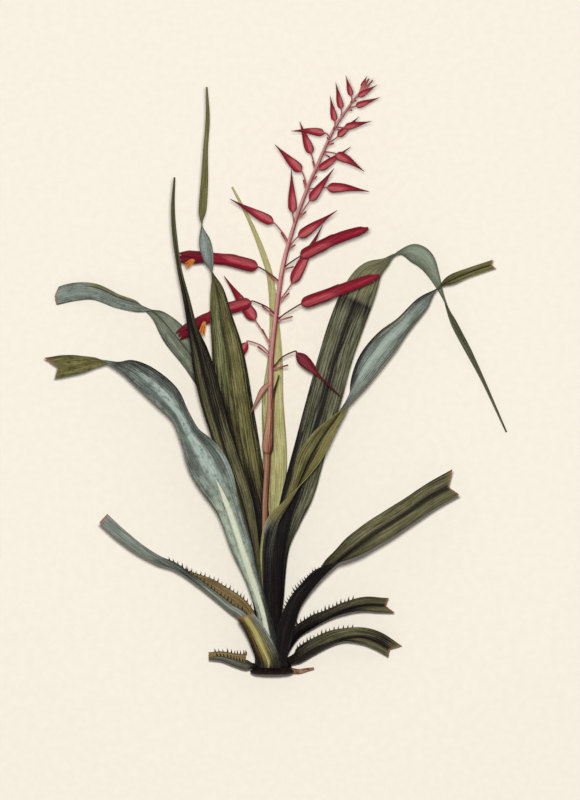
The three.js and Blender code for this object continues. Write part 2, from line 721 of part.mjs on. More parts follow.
// Radius along the length, as shares of the greatest radius.
const BUD_PROFILE = [[0.5], [0.98], [0.98], [0.8], [0.55], [0.35], [0.2], [0.09]];
const FLOWER_PROFILE = [[0.55], [0.97], [1], [0.98], [0.97], [0.97], [0.95], [0.88], [0.75], [0.35]];
const TUBE_PROFILE = [[0.55], [0.97], [1], [0.98], [0.97], [0.95], [0.9]];
const FADED_PROFILE = [[0.45], [0.98], [1], [0.78], [0.42], [0.2], [0.2], [0.17], [0.15], [0.1]];
const CALYX_LOBES = 3;
const CALYX_SHARE = 0.42;
const CALYX_LOBE_LENGTH = 0.12;
const CALYX_STEP = 0.16;
const OPEN_TUBE_SHARE = 0.68;
const PETAL_COUNT = 3;
const STAMEN_COUNT = 3;
const STAMEN_RADIUS = 0.6;
const STAMEN_SPREAD = 1;
const STAMEN_LIFT = 0.55;

function bloomAxis({ base, tip, bow }) {
  const start = new THREE.Vector3(...base);
  const end = new THREE.Vector3(...tip);
  const middle = start.clone().lerp(end, 0.5);
  middle.y += bow * 0.5;
  return [start.toArray(), middle.toArray(), end.toArray()];
}

function profileRadius(profile, share) {
  return splineRow(profile, share * (profile.length - 1))[0];
}

// The calyx stands proud of the corolla up to three pointed lobes.
function calyxStep(share, angle) {
  const edge = CALYX_SHARE + CALYX_LOBE_LENGTH * Math.cos(CALYX_LOBES * angle);
  return share < edge ? CALYX_STEP : 0;
}

function flowerRadius(flower, profile, share, angle) {
  return (flower.width / 2) * profileRadius(profile, share) * (1 - CALYX_STEP + calyxStep(share, angle));
}

function makeBud(bud) {
  const radius = bud.width / 2;
  const shape = (share) => radius * profileRadius(BUD_PROFILE, share);
  return makeMesh(bud.name, taperedTube(bloomAxis(bud), shape, BUD_SIDES, 7), 'bloom');
}

function makeClosedFlower(flower) {
  const shape = (share, angle) => flowerRadius(flower, FLOWER_PROFILE, share, angle);
  return makeMesh(flower.name, taperedTube(bloomAxis(flower), shape, FLOWER_SIDES, 12), 'bloom');
}

function makeFadedFlower(flower) {
  const radius = flower.width / 2;
  const shape = (share) => radius * profileRadius(FADED_PROFILE, share);
  return makeMesh(flower.name, taperedTube(bloomAxis(flower), shape, BUD_SIDES, 11), 'bloom');
}

// The roll that turns a blade's upper face towards the wanted direction.
function rollTowards(along, facing) {
  const level = UP.clone().addScaledVector(along, -along.z).normalize();
  const sideways = new THREE.Vector3().crossVectors(along, level);
  return THREE.MathUtils.radToDeg(Math.atan2(facing.dot(sideways), facing.dot(level)));
}

// One petal of an open flower: it leaves the tube's rim at the given angle and bends slightly outwards.
function petalGeometry(flower, angle) {
  const axis = bloomAxis(flower);
  const radius = flower.width / 2;
  const shares = [0.5, 0.66, 0.82, 1];
  const offsets = [0.45, 0.7, 0.92, 0.75];
  const widths = [1.1, 1.6, 1.6, 0.35];
  const rows = shares.map((share, k) => {
    const along = splineTangent(axis, share * 2);
    const side = new THREE.Vector3().crossVectors(UP, along).normalize();
    const front = new THREE.Vector3().crossVectors(along, side);
    const radial = side.multiplyScalar(Math.cos(angle)).addScaledVector(front, Math.sin(angle));
    const point = splinePoint(axis, share * 2).addScaledVector(radial, offsets[k] * radius);
    const roll = rollTowards(along, radial.negate());
    return [...point.toArray(), widths[k] * radius, roll, 100 - 50 * share, 0];
  });
  for (let k = 1; k < rows.length; k += 1) {
    rows[k][4] += 360 * Math.round((rows[k - 1][4] - rows[k][4]) / 360);
  }
  return bladeGeometry(rows, { columns: 2, perStation: 1, thickness: 0.8, edgeThickness: 0.7 });
}

// Stamens rise out of the tube to the front and hang down over the flower's lower side.
function stamenGeometry(flower, k) {
  const { from, drop } = STAMEN_DROPS[flower.name];
  const start = splinePoint(bloomAxis(flower), from);
  const fall = new THREE.Vector3(...drop);
  const across = new THREE.Vector3().crossVectors(UP, fall).normalize();
  const spread = (k - (STAMEN_COUNT - 1) / 2) * STAMEN_SPREAD;
  const lift = flower.width * STAMEN_LIFT;
  const middle = start.clone().addScaledVector(fall, 0.3).addScaledVector(across, spread * 0.6);
  middle.z += lift;
  const end = start.clone().add(fall).addScaledVector(across, spread);
  end.z += lift;
  const rows = [start.toArray(), middle.toArray(), end.toArray()];
  return taperedTube(rows, (share) => STAMEN_RADIUS * (0.7 + 0.5 * share), 4, 4);
}

function makeOpenFlower(flower) {
  const axis = bloomAxis(flower);
  const middle = splinePoint(axis, OPEN_TUBE_SHARE).toArray();
  const tubeAxis = [axis[0], middle, splinePoint(axis, 2 * OPEN_TUBE_SHARE).toArray()];
  const shape = (share, angle) => (
    flowerRadius(flower, TUBE_PROFILE, share, angle) * (1 - 0.25 * Math.max(0, share - 0.8))
  );
  const pieces = [taperedTube(tubeAxis, shape, BUD_SIDES + 1, 6)];
  for (let k = 0; k < PETAL_COUNT; k += 1) {
    pieces.push(petalGeometry(flower, (2 * Math.PI * (k + 0.25)) / PETAL_COUNT));
  }
  for (let k = 0; k < STAMEN_COUNT; k += 1) {
    pieces.push(stamenGeometry(flower, k));
  }
  return makeMesh(flower.name, fuse(pieces), 'bloom');
}

// A stalk bends from the axis into line with its bloom and ends a short gap under it.
function pedicelGeometry(flower) {
  const [start, next] = bloomAxis(flower).map((p) => new THREE.Vector3(...p));
  const stem = new THREE.Vector3(...flower.stem);
  const heading = next.sub(start).normalize();
  const end = start.addScaledVector(heading, -SEAT_GAP);
  const knee = end.clone().addScaledVector(heading, -PEDICEL_STRAIGHT_END);
  const middle = stem.clone().lerp(knee, 0.5);
  middle.addScaledVector(heading, -stem.distanceTo(knee) * PEDICEL_BEND);
  const rows = [stem, middle, knee, end].map((p) => p.toArray());
  return taperedTube(rows, () => PEDICEL_RADIUS, PEDICEL_SIDES, 3);
}

// A small bract stands at the foot of each stalk and runs beside it. The bracts on the left turn a little
// to the raceme's tip, and those on the right away from it.
function bractGeometry(flower, share) {
  const stem = new THREE.Vector3(...flower.stem);
  const root = stem.clone().add(new THREE.Vector3(-0.3, -1.4, 0));
  const out = new THREE.Vector3(...flower.base).sub(stem);
  const reach = 0.5 * out.length() + BRACT_LENGTH * (1 - share);
  const turn = out.x > 0 ? -BRACT_TURN : BRACT_TURN;
  const heading = out.normalize().add(new THREE.Vector3(0, turn, 0.12)).normalize();
  const tip = root.clone().addScaledVector(heading, reach);
  const rows = [root.toArray(), tip.toArray()];
  return taperedTube(rows, (part) => BRACT_RADIUS * (1 - 0.55 * part), 3, 1);
}

function makeScape() {
  const axisLast = SCAPE_AXIS.length - 1;
  const axis = taperedTube(
    SCAPE_AXIS,
    (share) => splineRow(SCAPE_AXIS, share * axisLast)[3],
    8,
    axisLast * 2,
  );
  const blooms = [...BUDS, ...CLOSED_FLOWERS, ...OPEN_FLOWERS, FADED_FLOWER];
  const stalks = blooms.map(pedicelGeometry);
  const top = SCAPE_AXIS[axisLast][1];
  const bracts = blooms.map((flower) => bractGeometry(flower, flower.stem[1] / top));
  const leafy = STEM_BRACTS.map((rows) => (
    bladeGeometry(rows, { columns: 2, perStation: 2, thickness: STEM_BRACT_THICKNESS, edgeThickness: 0.6 })
  ));
  return makeMesh('scape', fuse([axis, ...stalks, ...bracts, ...leafy]), 'scape');
}

const plant = new THREE.Group();
plant.add(makeCrown());
plant.add(...LEAVES.map(makeLeaf));
plant.add(makeScape());
plant.add(...BUDS.map(makeBud));
plant.add(...CLOSED_FLOWERS.map(makeClosedFlower));
plant.add(...OPEN_FLOWERS.map(makeOpenFlower));
plant.add(makeFadedFlower(FADED_FLOWER));

export default plant;
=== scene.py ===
# A flowering bromeliad laid on its back: fine blades with veins and thorns, raceme, crown, floor and light.
import math

import bpy
import numpy as np
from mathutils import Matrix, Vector


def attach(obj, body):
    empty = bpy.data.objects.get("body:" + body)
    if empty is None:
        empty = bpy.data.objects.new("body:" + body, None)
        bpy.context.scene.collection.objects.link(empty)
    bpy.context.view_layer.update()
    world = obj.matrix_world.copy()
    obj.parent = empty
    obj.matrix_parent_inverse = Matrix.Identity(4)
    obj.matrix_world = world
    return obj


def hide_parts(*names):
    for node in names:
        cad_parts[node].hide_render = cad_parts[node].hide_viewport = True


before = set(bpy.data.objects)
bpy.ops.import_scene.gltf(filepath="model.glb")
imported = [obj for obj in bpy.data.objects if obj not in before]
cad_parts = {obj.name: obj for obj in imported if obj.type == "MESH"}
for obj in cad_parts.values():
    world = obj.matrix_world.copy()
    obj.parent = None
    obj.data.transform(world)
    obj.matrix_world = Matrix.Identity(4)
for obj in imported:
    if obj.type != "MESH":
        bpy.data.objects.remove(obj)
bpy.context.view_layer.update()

MM = 0.001
TURN = 2 * math.pi
UP = np.array([0.0, 0.0, 1.0])

# Sizes in millimetres, angles in degrees.
CROWN_RADIUS = 15.5
CROWN_AXIS_HEIGHT = 15
CROWN_SHOULDER_Y = -2
CROWN_CONE_SLOPE = 0.6
SEAT_GAP = 0.35
CAD_BLADE_THICKNESS = 0.95
BLADE_THICKNESS = 0.72
BLADE_EDGE = 0.5
BLADE_COLUMNS = 40
SECTION_STEP = 2.2
RIDGE_HEIGHT = 0.07
RIDGES = 9
FULL_WAVE_WIDTH = 12
LEAF_WAVE = (0.35, 34, 1.0)
CREASE = 0.09
CUT_RAGGED = 0.35
SHARP_ANGLE = 48
THORN_LENGTH = 2.6
THORN_SIDES = 6
THORN_SHARES = np.array([0, 0.25, 0.5, 0.78, 1.0])
THORN_WIDTHS = np.array([0.62, 0.44, 0.3, 0.17, 0.03])


def rgb(r, g, b):
    """Linear colour from a display colour of 0 to 255."""
    return tuple(((c / 255 + 0.055) / 1.055) ** 2.4 if c > 10 else c / 255 / 12.92 for c in (r, g, b))


# Light, middle and dark of each skin.
OLIVE = [rgb(132, 128, 92), rgb(104, 100, 68), rgb(40, 37, 24)]
OLIVE_GREY = [rgb(136, 136, 108), rgb(108, 108, 82), rgb(46, 46, 34)]
SAGE = [rgb(150, 156, 134), rgb(122, 130, 110), rgb(66, 72, 60)]
OLIVE_YELLOW = [rgb(150, 144, 92), rgb(118, 112, 64), rgb(48, 44, 24)]
BROWN_OLIVE = [rgb(160, 138, 90), rgb(134, 112, 68), rgb(70, 54, 34)]
PALE = [rgb(212, 205, 150), rgb(186, 180, 118), rgb(128, 122, 66)]
GREY = [rgb(162, 171, 160), rgb(122, 131, 119), rgb(62, 69, 60)]
GREY_DARK = [rgb(116, 117, 102), rgb(80, 80, 70), rgb(34, 32, 29)]
GREY_WARM = [rgb(132, 124, 106), rgb(94, 88, 74), rgb(42, 38, 32)]
RIB_DARK = rgb(34, 30, 20)
CREAM = rgb(226, 230, 200)
MIST = rgb(182, 198, 188)
SLATE = rgb(72, 82, 76)
STRAW = rgb(184, 172, 104)
INK = rgb(22, 18, 18)
TAN = rgb(160, 138, 92)
# Near black of the painted shade on the leaves.
SHADE_BLACK = rgb(19, 13, 15)
CUT_COLOUR = rgb(158, 104, 76)
THORN_COLOUR = rgb(24, 16, 16)

# sheath: azimuth, radius, half span and rise of the clasping base.
# stations: x, y, z of the rib, width, roll, curl, fold; u counts them, with 0 and 1 in the sheath.
# spines: u from and to, pitch, edges. rib: u and half width.
# shade: u and five darknesses in hundredths, from the left edge to the right.
# strokes: face, u from and to, s from and to, half width, colour, strength. Most strokes are the leaf's own
# bands of colour; a few are painted sheen and painted shade.
LEAVES = dict(
    leaf_arch_left=dict(
        slot="leaf_grey", sheath=(-112, 10.2, 38, 9), notch=-2, skew=2.2, upper=SAGE, under=GREY,
        rib_upper=RIB_DARK, rib_under=GREY[2], margin=rgb(60, 62, 48), upper_rib=0.8, under_rib=0.4,
        cut=1.2, vein=0.6, under_vein=0.55, cloud=0.45, rib=[(0, 0.8), (15, 0.8)],
        stations=[
            (-7, 32, 4.2, 11, 18, 75, 0), (-11, 64, 4.2, 11, 12, 60, 0), (-15.5, 105, 7.5, 15, 8, 45, 0),
            (-24, 150, 10, 17, 5, 30, 0), (-38, 187, 11, 17, 0, 26, 0), (-52, 212, 12, 17, 0, 26, 0),
            (-68, 233, 13, 17.4, -5, 26, 0), (-79, 246, 13.5, 11.4, -30, 26, 0),
            (-87.2, 251.8, 13, 9, -90, 130, 0), (-96, 254, 12.5, 9.5, -150, 40, 10),
            (-109, 257.5, 11, 10, -170, 36, 10), (-124, 263.5, 7, 11.5, -175, 40, 0),
            (-138, 263.5, 3.2, 13, -180, 36, 0), (-151.6, 260.3, 2, 12.4, -180, 30, 0),
        ],
        shade=[
            (0, 90, 90, 90, 90, 90), (4, 90, 90, 90, 90, 90), (5.5, 75, 50, 45, 50, 70),
            (7, 55, 15, 30, 10, 35), (9, 45, 10, 25, 10, 35), (10, 40, 30, 50, 30, 40),
            (12, 35, 10, 15, 30, 25), (13.6, 30, 0, 0, 0, 50), (15, 45, 10, 5, 30, 40),
        ],
        strokes=[
            (-1, 10.6, 13.4, -0.7, -0.8, 0.24, rgb(140, 136, 82), 0.9),
            (-1, 10.3, 13.4, -0.38, -0.55, 0.13, INK, 0.85), (-1, 13.6, 15, 0.1, 0.1, 0.35, MIST, 0.5),
            (1, 6, 9.4, 0.15, 0.1, 0.45, rgb(146, 154, 132), 0.4),
        ],
    ),
    leaf_broad_left=dict(
        slot="leaf_grey", sheath=(95, 10.2, 40, 9), notch=4.5, skew=3, upper=OLIVE_YELLOW, under=GREY,
        rib_upper=RIB_DARK, rib_under=CREAM, margin=rgb(84, 92, 80), upper_rib=0.45, under_rib=0.95,
        cut=1.5, wave=(0.5, 46, 0.4), vein=0.7, under_vein=0.3, cloud=0.6,
        rib=[
            (0, 1.2), (2, 1.8), (3.4, 2.8), (4.4, 3.2), (6.2, 2.4), (6.9, 0.8), (7.3, 0.1), (14, 0.1),
            (16, 0.5), (19, 0.7),
        ],
        stations=[
            (-4.8, 33, 30, 11, -187, 85, 0), (-9, 48, 33.5, 9.6, -186, 70, 0),
            (-14.7, 65, 37.5, 9.8, -185, 60, 0), (-21.7, 86, 42.5, 15, -183, 50, 0),
            (-30.1, 111, 47.5, 16.5, -181, 45, 0), (-38, 130, 50, 25, -180, 36, 0),
            (-45, 143.5, 51.5, 27, -180, 30, 0), (-51.2, 154, 52, 22.5, -180, 30, 0),
            (-57.4, 163.8, 52, 15, -180, 34, 0), (-64, 177, 51.5, 13, -181, 36, 0),
            (-73.4, 190.2, 49.5, 18.6, -181, 30, 0), (-88, 203, 46, 17.5, -178, 28, 0),
            (-101, 211, 41.5, 12, -165, 26, 0), (-112.5, 214.6, 37, 7, -90, 100, 10),
            (-122, 214.7, 34, 8.5, -25, 20, 25), (-134, 212.6, 30, 14.5, 0, 20, 25),
            (-145, 211.4, 26.5, 17.5, 0, 20, 25), (-152, 210.4, 24, 17.5, 0, 20, 25),
        ],
        shade=[
            (0, 95, 80, 20, 30, 50), (2.6, 90, 60, 0, 10, 40), (3.6, 75, 30, 0, 0, 40),
            (6, 45, 15, 0, 0, 40), (8, 40, 30, 0, 15, 40), (10, 60, 35, 0, 20, 30), (12, 80, 40, 5, 20, 35),
            (13.5, 85, 65, 40, 40, 50), (14.6, 70, 80, 80, 70, 60), (15.5, 10, 15, 35, 10, 10),
            (19, 35, 5, 10, 5, 40),
        ],
        strokes=[
            (-1, 7, 13, 0, 0.05, 0.34, MIST, 0.85), (-1, 7.6, 9.6, 0.62, 0.6, 0.32, SLATE, 0.6),
            (-1, 10.2, 13, 0.6, 0.55, 0.3, SLATE, 0.6), (-1, 7.2, 12.8, -0.55, -0.6, 0.26, SLATE, 0.65),
            (-1, 2, 6.4, 0.5, 0.45, 0.22, rgb(170, 184, 170), 0.6),
            (-1, 1.5, 6.4, 0.72, 0.7, 0.32, rgb(190, 204, 178), 0.85),
            (-1, 0.5, 3.6, 0.28, 0.1, 0.24, CREAM, 0.9),
            # Painted shade down the right flank near the base.
            (-1, 0, 3.2, -0.45, -0.6, 0.45, rgb(84, 86, 74), 0.9),
            (-1, 6.6, 8.8, -0.88, -0.88, 0.16, rgb(168, 180, 168), 0.7),
        ],
    ),
    leaf_cut_left=dict(
        slot="leaf_grey", sheath=(-200, 11.8, 38, 7), spines=(2.2, 7.6, 3.024, (-1, 1)), upper=BROWN_OLIVE,
        under=GREY, rib_upper=BROWN_OLIVE[2], rib_under=GREY[2], margin=rgb(40, 34, 26), upper_rib=0.2,
        under_rib=0.2, cut=2.4, vein=0.55, under_vein=0.7, lean=(-1, 60), rib=[(0, 1), (11, 0.6)],
        stations=[
            (-15, 21, 22.5, 19, 96, 80, 15), (-21.5, 33, 25.5, 25, 72, 70, 34),
            (-31, 41.5, 26.5, 26, 60, 70, 38), (-41.5, 50.3, 27.5, 22, 62, 70, 35),
            (-52.5, 59, 30, 16.5, 75, 80, 25), (-66, 68.4, 33, 11.5, 105, 80, 12),
            (-79.5, 75.5, 35, 7, 150, 60, 0), (-93, 84, 36, 7, 172, 40, 0), (-106, 94, 36, 8, 178, 36, 0),
            (-118, 105, 35, 8.2, 180, 36, 0),
        ],
        shade=[
            (0, 90, 90, 90, 90, 90), (2, 50, 30, 50, 20, 30), (4, 35, 10, 30, 10, 20),
            (5.6, 50, 40, 50, 30, 30), (6.6, 70, 70, 80, 40, 30), (8, 40, 40, 50, 30, 30),
            (9, 20, 10, 10, 10, 20), (11, 20, 0, 0, 0, 10),
        ],
        strokes=[
            (-1, 2, 6, -0.75, -0.7, 0.26, rgb(186, 196, 180), 0.8),
            (-1, 2, 6, -0.25, -0.25, 0.3, rgb(146, 152, 136), 0.6),
        ],
    ),
    leaf_stub_front=dict(
        slot="leaf_pale", sheath=(100, 13.5, 36, 5), skew=1.5, upper=BROWN_OLIVE, under=OLIVE_YELLOW,
        rib_upper=RIB_DARK, rib_under=rgb(206, 194, 124), margin=rgb(60, 52, 38), under_rib=0.6, cut=2,
        under_vein=0.95, cloud=0.35, rib=[(0, 1.2), (3, 2.2), (4, 2)],
        stations=[
            (-6.5, 15, 33.5, 16.5, -190, 80, 0), (-12.5, 27, 38.5, 14, -187, 80, 0),
            (-18.7, 36.6, 43.5, 11.4, -185, 80, 0),
        ],
        shade=[
            (0, 95, 90, 70, 80, 95), (1, 85, 80, 40, 60, 95), (1.7, 70, 50, 10, 40, 95),
            (3, 40, 30, 0, 35, 90), (4, 20, 20, 0, 25, 75),
        ],
        strokes=[
            (-1, 0.5, 4.3, 0.15, 0.12, 0.42, rgb(186, 170, 104), 0.8),
            (-1, 0.3, 4.3, 0.66, 0.62, 0.36, rgb(110, 84, 50), 0.95),
            (-1, 0.8, 4.3, -0.62, -0.66, 0.34, rgb(146, 148, 132), 0.85),
            (-1, 1.8, 4.3, -0.93, -0.93, 0.16, rgb(206, 214, 206), 0.9),
        ],
    ),
    leaf_stub_left=dict(
        slot="leaf_grey", sheath=(-168, 14.5, 40, 0.6), notch=-1, skew=1.5,
        spines=(1.8, 4.7, 2.232, (-1, 1)), upper=BROWN_OLIVE, under=GREY_WARM, rib_upper=RIB_DARK,
        rib_under=GREY_WARM[2], margin=rgb(34, 30, 24), under_rib=0.3, vein=0.7, lean=(-1, 60),
        rib=[(0, 1), (5, 0.8)],
        stations=[
            (-18.6, -0.9, 13.5, 23.5, 65, 72, 28), (-26.5, 1.6, 14.5, 19.5, 68, 96, 28),
            (-35, 4.9, 15.5, 14.8, 75, 100, 22), (-43.5, 6.2, 17, 11, 77, 100, 15),
        ],
        shade=[
            (0, 90, 90, 90, 90, 90), (1.6, 80, 70, 70, 50, 50), (2.2, 50, 35, 50, 20, 30),
            (3.4, 40, 25, 50, 15, 20), (5, 30, 10, 30, 10, 20),
        ],
        strokes=[
            (-1, 1.6, 5, -0.8, -0.8, 0.24, rgb(150, 154, 142), 0.8),
            (-1, 1.6, 5, -0.3, -0.3, 0.4, rgb(92, 94, 86), 0.7), (1, 1.4, 3.6, 0.3, 0.3, 0.8, TAN, 0.6),
        ],
    ),
    leaf_narrow_left=dict(
        slot="leaf_olive", sheath=(-175, 8.6, 38, 9), upper=OLIVE, under=GREY_DARK, rib_upper=INK,
        rib_under=GREY[2], margin=rgb(60, 54, 34), upper_rib=0.9, vein=0.85,
        rib=[(0, 1), (7, 1.6), (12, 0.6)],
        stations=[
            (-10.2, 44, 16.8, 9.5, 82, 90, 0), (-13, 80, 24.6, 11.5, 55, 80, 0),
            (-21, 116, 31, 15, 35, 60, 8), (-32, 150, 38, 17, 22, 40, 15), (-41, 180, 43, 18, 15, 30, 20),
            (-47, 204, 46.5, 17, 10, 26, 20), (-51, 222, 49, 13, 8, 26, 20),
            (-55.5, 238, 51, 7.5, 5, 26, 20), (-59.5, 257, 52.5, 5, 5, 26, 15),
            (-64.5, 279, 54, 3.2, 5, 26, 10), (-67.8, 302, 55, 3.2, 5, 26, 0),
            (-69, 322, 54.5, 2.6, 5, 26, 0), (-68, 343, 53, 1.2, 5, 20, 0),
        ],
        shade=[
            (0, 100, 100, 100, 100, 100), (3, 70, 70, 60, 35, 40), (4, 75, 45, 50, 20, 50),
            (5, 85, 10, 55, 20, 90), (6, 85, 20, 75, 70, 100), (8, 85, 50, 95, 80, 95),
            (9.5, 95, 95, 100, 60, 80), (11, 60, 50, 60, 40, 40), (14, 30, 10, 20, 10, 20),
        ],
    ),
    leaf_tall=dict(
        slot="leaf_olive", sheath=(-162, 5.2, 48, 9), upper=OLIVE_YELLOW, under=GREY,
        rib_upper=rgb(44, 38, 22), rib_under=GREY[1], margin=rgb(70, 64, 36), upper_rib=0.75,
        wave=(0.3, 40, 1), vein=0.85, rib=[(0, 0.8), (8, 0.9), (12, 0.5), (19, 0.3)],
        stations=[
            (-4.4, 42, 12.6, 9, 45, 90, 0), (-5, 78, 12.4, 10.5, 18, 60, 0),
            (-12.5, 114, 16, 20, 15, 48, 5), (-19.5, 146, 22.5, 25, 10, 34, 8),
            (-25.5, 178, 29.5, 27, 2, 26, 10), (-29, 205, 35.5, 25.5, 0, 24, 10),
            (-31.5, 225, 40, 22, 0, 24, 10), (-35, 243, 44.5, 17, 0, 24, 10),
            (-38, 262, 48.5, 10.5, 5, 24, 5), (-42, 275, 50.5, 5.6, 75, 30, 10),
            (-44.4, 285.5, 51.5, 8.4, 150, 30, 0), (-46.7, 298, 52, 8.4, 190, 30, 0),
            (-48.8, 309.5, 52.5, 3.8, 265, 20, 0), (-48.3, 321, 53, 5.6, 345, 30, 0),
            (-47, 341, 53.5, 5, 360, 30, 0), (-46.3, 362, 54, 3.3, 360, 30, 0),
            (-44.8, 384, 54, 2.8, 360, 30, 0), (-45.5, 406, 53, 1.2, 360, 20, 0),
        ],
        shade=[
            (0, 100, 100, 100, 100, 100), (3, 100, 100, 100, 95, 100), (4, 100, 100, 100, 95, 100),
            (4.5, 100, 100, 90, 60, 90), (5, 100, 100, 60, 25, 80), (6, 100, 95, 50, 15, 90),
            (6.7, 90, 50, 40, 10, 90), (7.5, 75, 25, 45, 15, 85), (9, 60, 20, 50, 35, 85),
            (10.5, 50, 20, 50, 50, 80), (12, 40, 15, 30, 20, 50), (14, 35, 5, 15, 10, 40),
            (16, 30, 15, 30, 20, 40), (19, 20, 5, 20, 5, 20),
        ],
        strokes=[
            (1, 6.5, 9.6, -0.45, -0.4, 0.4, rgb(134, 142, 100), 0.6),
            (-1, 12, 14, 0.3, 0.2, 0.4, rgb(176, 192, 190), 0.6),
        ],
    ),
    leaf_pale=dict(
        slot="leaf_pale", sheath=(-90, 7, 36, 9), upper=PALE, under=PALE, rib_upper=PALE[2],
        rib_under=PALE[2], margin=rgb(128, 118, 62), upper_rib=0.5, vein=0.55, rib=[(0, 0.6), (12, 0.3)],
        stations=[
            (-0.3, 42, 7.8, 7, 0, 90, 0), (-0.3, 85, 8, 8.5, 0, 55, 0), (1, 122, 10.5, 16, 0, 36, 0),
            (2, 150, 12.5, 17, 0, 30, 0), (0.5, 187, 14, 15, 0, 26, 0), (2.1, 216, 14.5, 10.5, 0, 26, 0),
            (1.6, 244, 14, 6.4, 0, 26, 0), (-1, 272, 13, 4.4, 0, 26, 0), (-6.5, 291, 12, 3.8, 0, 26, 0),
            (-16, 314, 10, 2.4, 0, 26, 0), (-28, 337, 8, 1.2, 0, 20, 0),
        ],
        shade=[
            (0, 100, 100, 100, 100, 100), (3, 60, 45, 35, 40, 60), (5, 45, 25, 30, 15, 30),
            (8, 30, 5, 15, 0, 15), (12, 10, 0, 5, 0, 10),
        ],
    ),
    leaf_arch_right=dict(
        slot="leaf_olive", sheath=(-18, 5.2, 50, 9), upper=OLIVE_GREY, under=SAGE,
        rib_upper=rgb(26, 24, 16), rib_under=SAGE[1], margin=rgb(60, 58, 40), upper_rib=0.85,
        wave=(0.3, 44, 2), vein=0.9, under_vein=0.45,
        rib=[(0, 1.4), (5, 1.8), (9, 1.3), (10.2, 0.5), (12, 0.3), (22, 0.3)],
        stations=[
            (6.3, 44, 13.5, 9.5, -50, 95, 0), (8, 80, 14.5, 12, -35, 90, 0),
            (12.5, 104, 16, 18.5, -20, 55, 0), (19, 124, 17.5, 23, -8, 36, 5),
            (26, 150, 18.5, 23.5, -4, 28, 8), (36.2, 187, 20, 24.6, 0, 24, 8),
            (44.2, 216.4, 21.5, 24.2, 0, 24, 8), (51.3, 238.3, 22.5, 25, 0, 24, 8),
            (59, 258, 23.5, 24.4, 0, 24, 8), (68.8, 275.4, 24, 19.8, -25, 24, 5),
            (80, 283.6, 23.5, 11.5, -60, 40, 0), (88, 289.6, 22.5, 8, -100, 90, 0),
            (98.5, 290.5, 20, 13.5, -160, 26, 5), (107, 286, 16.5, 14, -180, 26, 10),
            (113, 277, 13, 9.5, -195, 26, 10), (118.6, 265.5, 10, 6, -235, 60, 5),
            (123, 253, 8, 4.6, -285, 90, 0), (128.8, 239, 6, 4.8, -340, 24, 0),
            (137.6, 222.3, 4, 4.4, -360, 20, 0), (148.3, 200.8, 2.2, 2.6, -360, 20, 0),
            (164.5, 165, 0.7, 1.2, -360, 20, 0),
        ],
        shade=[
            (0, 100, 100, 100, 100, 100), (3, 100, 100, 100, 80, 85), (4, 100, 100, 90, 35, 40),
            (5, 100, 90, 90, 25, 40), (6, 95, 50, 80, 25, 45), (8, 50, 15, 70, 15, 40),
            (9.4, 50, 20, 70, 30, 55), (9.95, 70, 60, 90, 75, 85), (10.05, 15, 5, 10, 5, 10),
            (12, 30, 15, 20, 10, 30), (13, 60, 50, 40, 30, 40), (14, 60, 20, 10, 5, 20),
            (17, 50, 30, 30, 20, 40), (19, 50, 50, 60, 30, 50), (22, 40, 30, 40, 20, 30),
        ],
        strokes=[
            (1, 10.2, 12, 0, 0, 1.3, rgb(146, 142, 104), 0.8),
            (-1, 13.4, 16.6, 0.4, 0.3, 0.5, rgb(160, 176, 156), 0.7),
        ],
    ),
    leaf_fold_right=dict(
        slot="leaf_olive", sheath=(90, 8.6, 52, 9), notch=2, upper=OLIVE_YELLOW, under=GREY,
        rib_upper=rgb(30, 26, 16), rib_under=GREY[0], margin=rgb(150, 138, 80), upper_rib=0.85,
        under_rib=0.2, cut=1.2, wave=(0.3, 38, 1.4), under_vein=0.4,
        rib=[(0, 1), (6, 1.3), (12, 1), (20, 0.9)],
        stations=[
            (-1.6, 44, 27, 12.5, -176, 110, 0), (-1.2, 70, 31.5, 14, -160, 100, 5),
            (-0.2, 86, 34.5, 16, -152, 85, 12), (3.6, 101, 37.2, 17, -126, 60, 26),
            (13.5, 117.5, 39.5, 13.5, -82, 44, 26), (20, 131, 41, 14, -50, 34, 20),
            (27, 147, 42, 18, -20, 28, 12), (35, 161.5, 42.5, 14.5, 0, 24, 10),
            (43.6, 173.6, 43, 9.6, 30, 24, 20), (51, 185.5, 43, 10.5, 88, 24, 28),
            (58.6, 198.6, 42.5, 14, 145, 26, 15), (69.5, 215.4, 41, 18, 175, 28, 0),
            (80.8, 229.2, 38, 17.4, 180, 28, 0), (91.9, 240.6, 34, 12, 180, 28, 0),
            (104, 254, 29.5, 10, 180, 26, 0), (115.5, 265, 26, 4, 265, 20, 0),
            (125, 271, 24.5, 8, 330, 40, 10), (137, 276.5, 23, 7, 355, 60, 10),
            (154.5, 282.5, 21, 6.5, 360, 40, 5),
        ],
        shade=[
            (0, 100, 100, 100, 100, 100), (2.5, 100, 100, 95, 100, 60), (3.4, 100, 95, 80, 95, 30),
            (4.5, 100, 95, 60, 95, 30), (5.2, 60, 30, 60, 40, 20), (6.2, 40, 30, 90, 20, 10),
            (8, 20, 40, 80, 10, 10), (10, 20, 20, 50, 10, 20), (11, 50, 40, 40, 30, 40),
            (12, 60, 30, 20, 60, 95), (13, 50, 25, 0, 50, 95), (15, 60, 35, 0, 30, 70),
            (16.3, 60, 50, 50, 60, 90), (17.4, 70, 50, 60, 60, 70), (18.6, 60, 20, 60, 10, 30),
            (20, 20, 10, 50, 0, 20),
        ],
        strokes=[
            (-1, 12.2, 15.4, -0.05, 0, 0.42, rgb(172, 186, 172), 0.85),
            (-1, 13.6, 15.2, 0.9, 0.93, 0.12, STRAW, 0.9),
            (1, 6.5, 10.6, 0.6, 0.5, 0.4, rgb(160, 148, 90), 0.7),
            (-1, 4.9, 7.4, 0, 0, 1.6, rgb(146, 134, 78), 0.95),
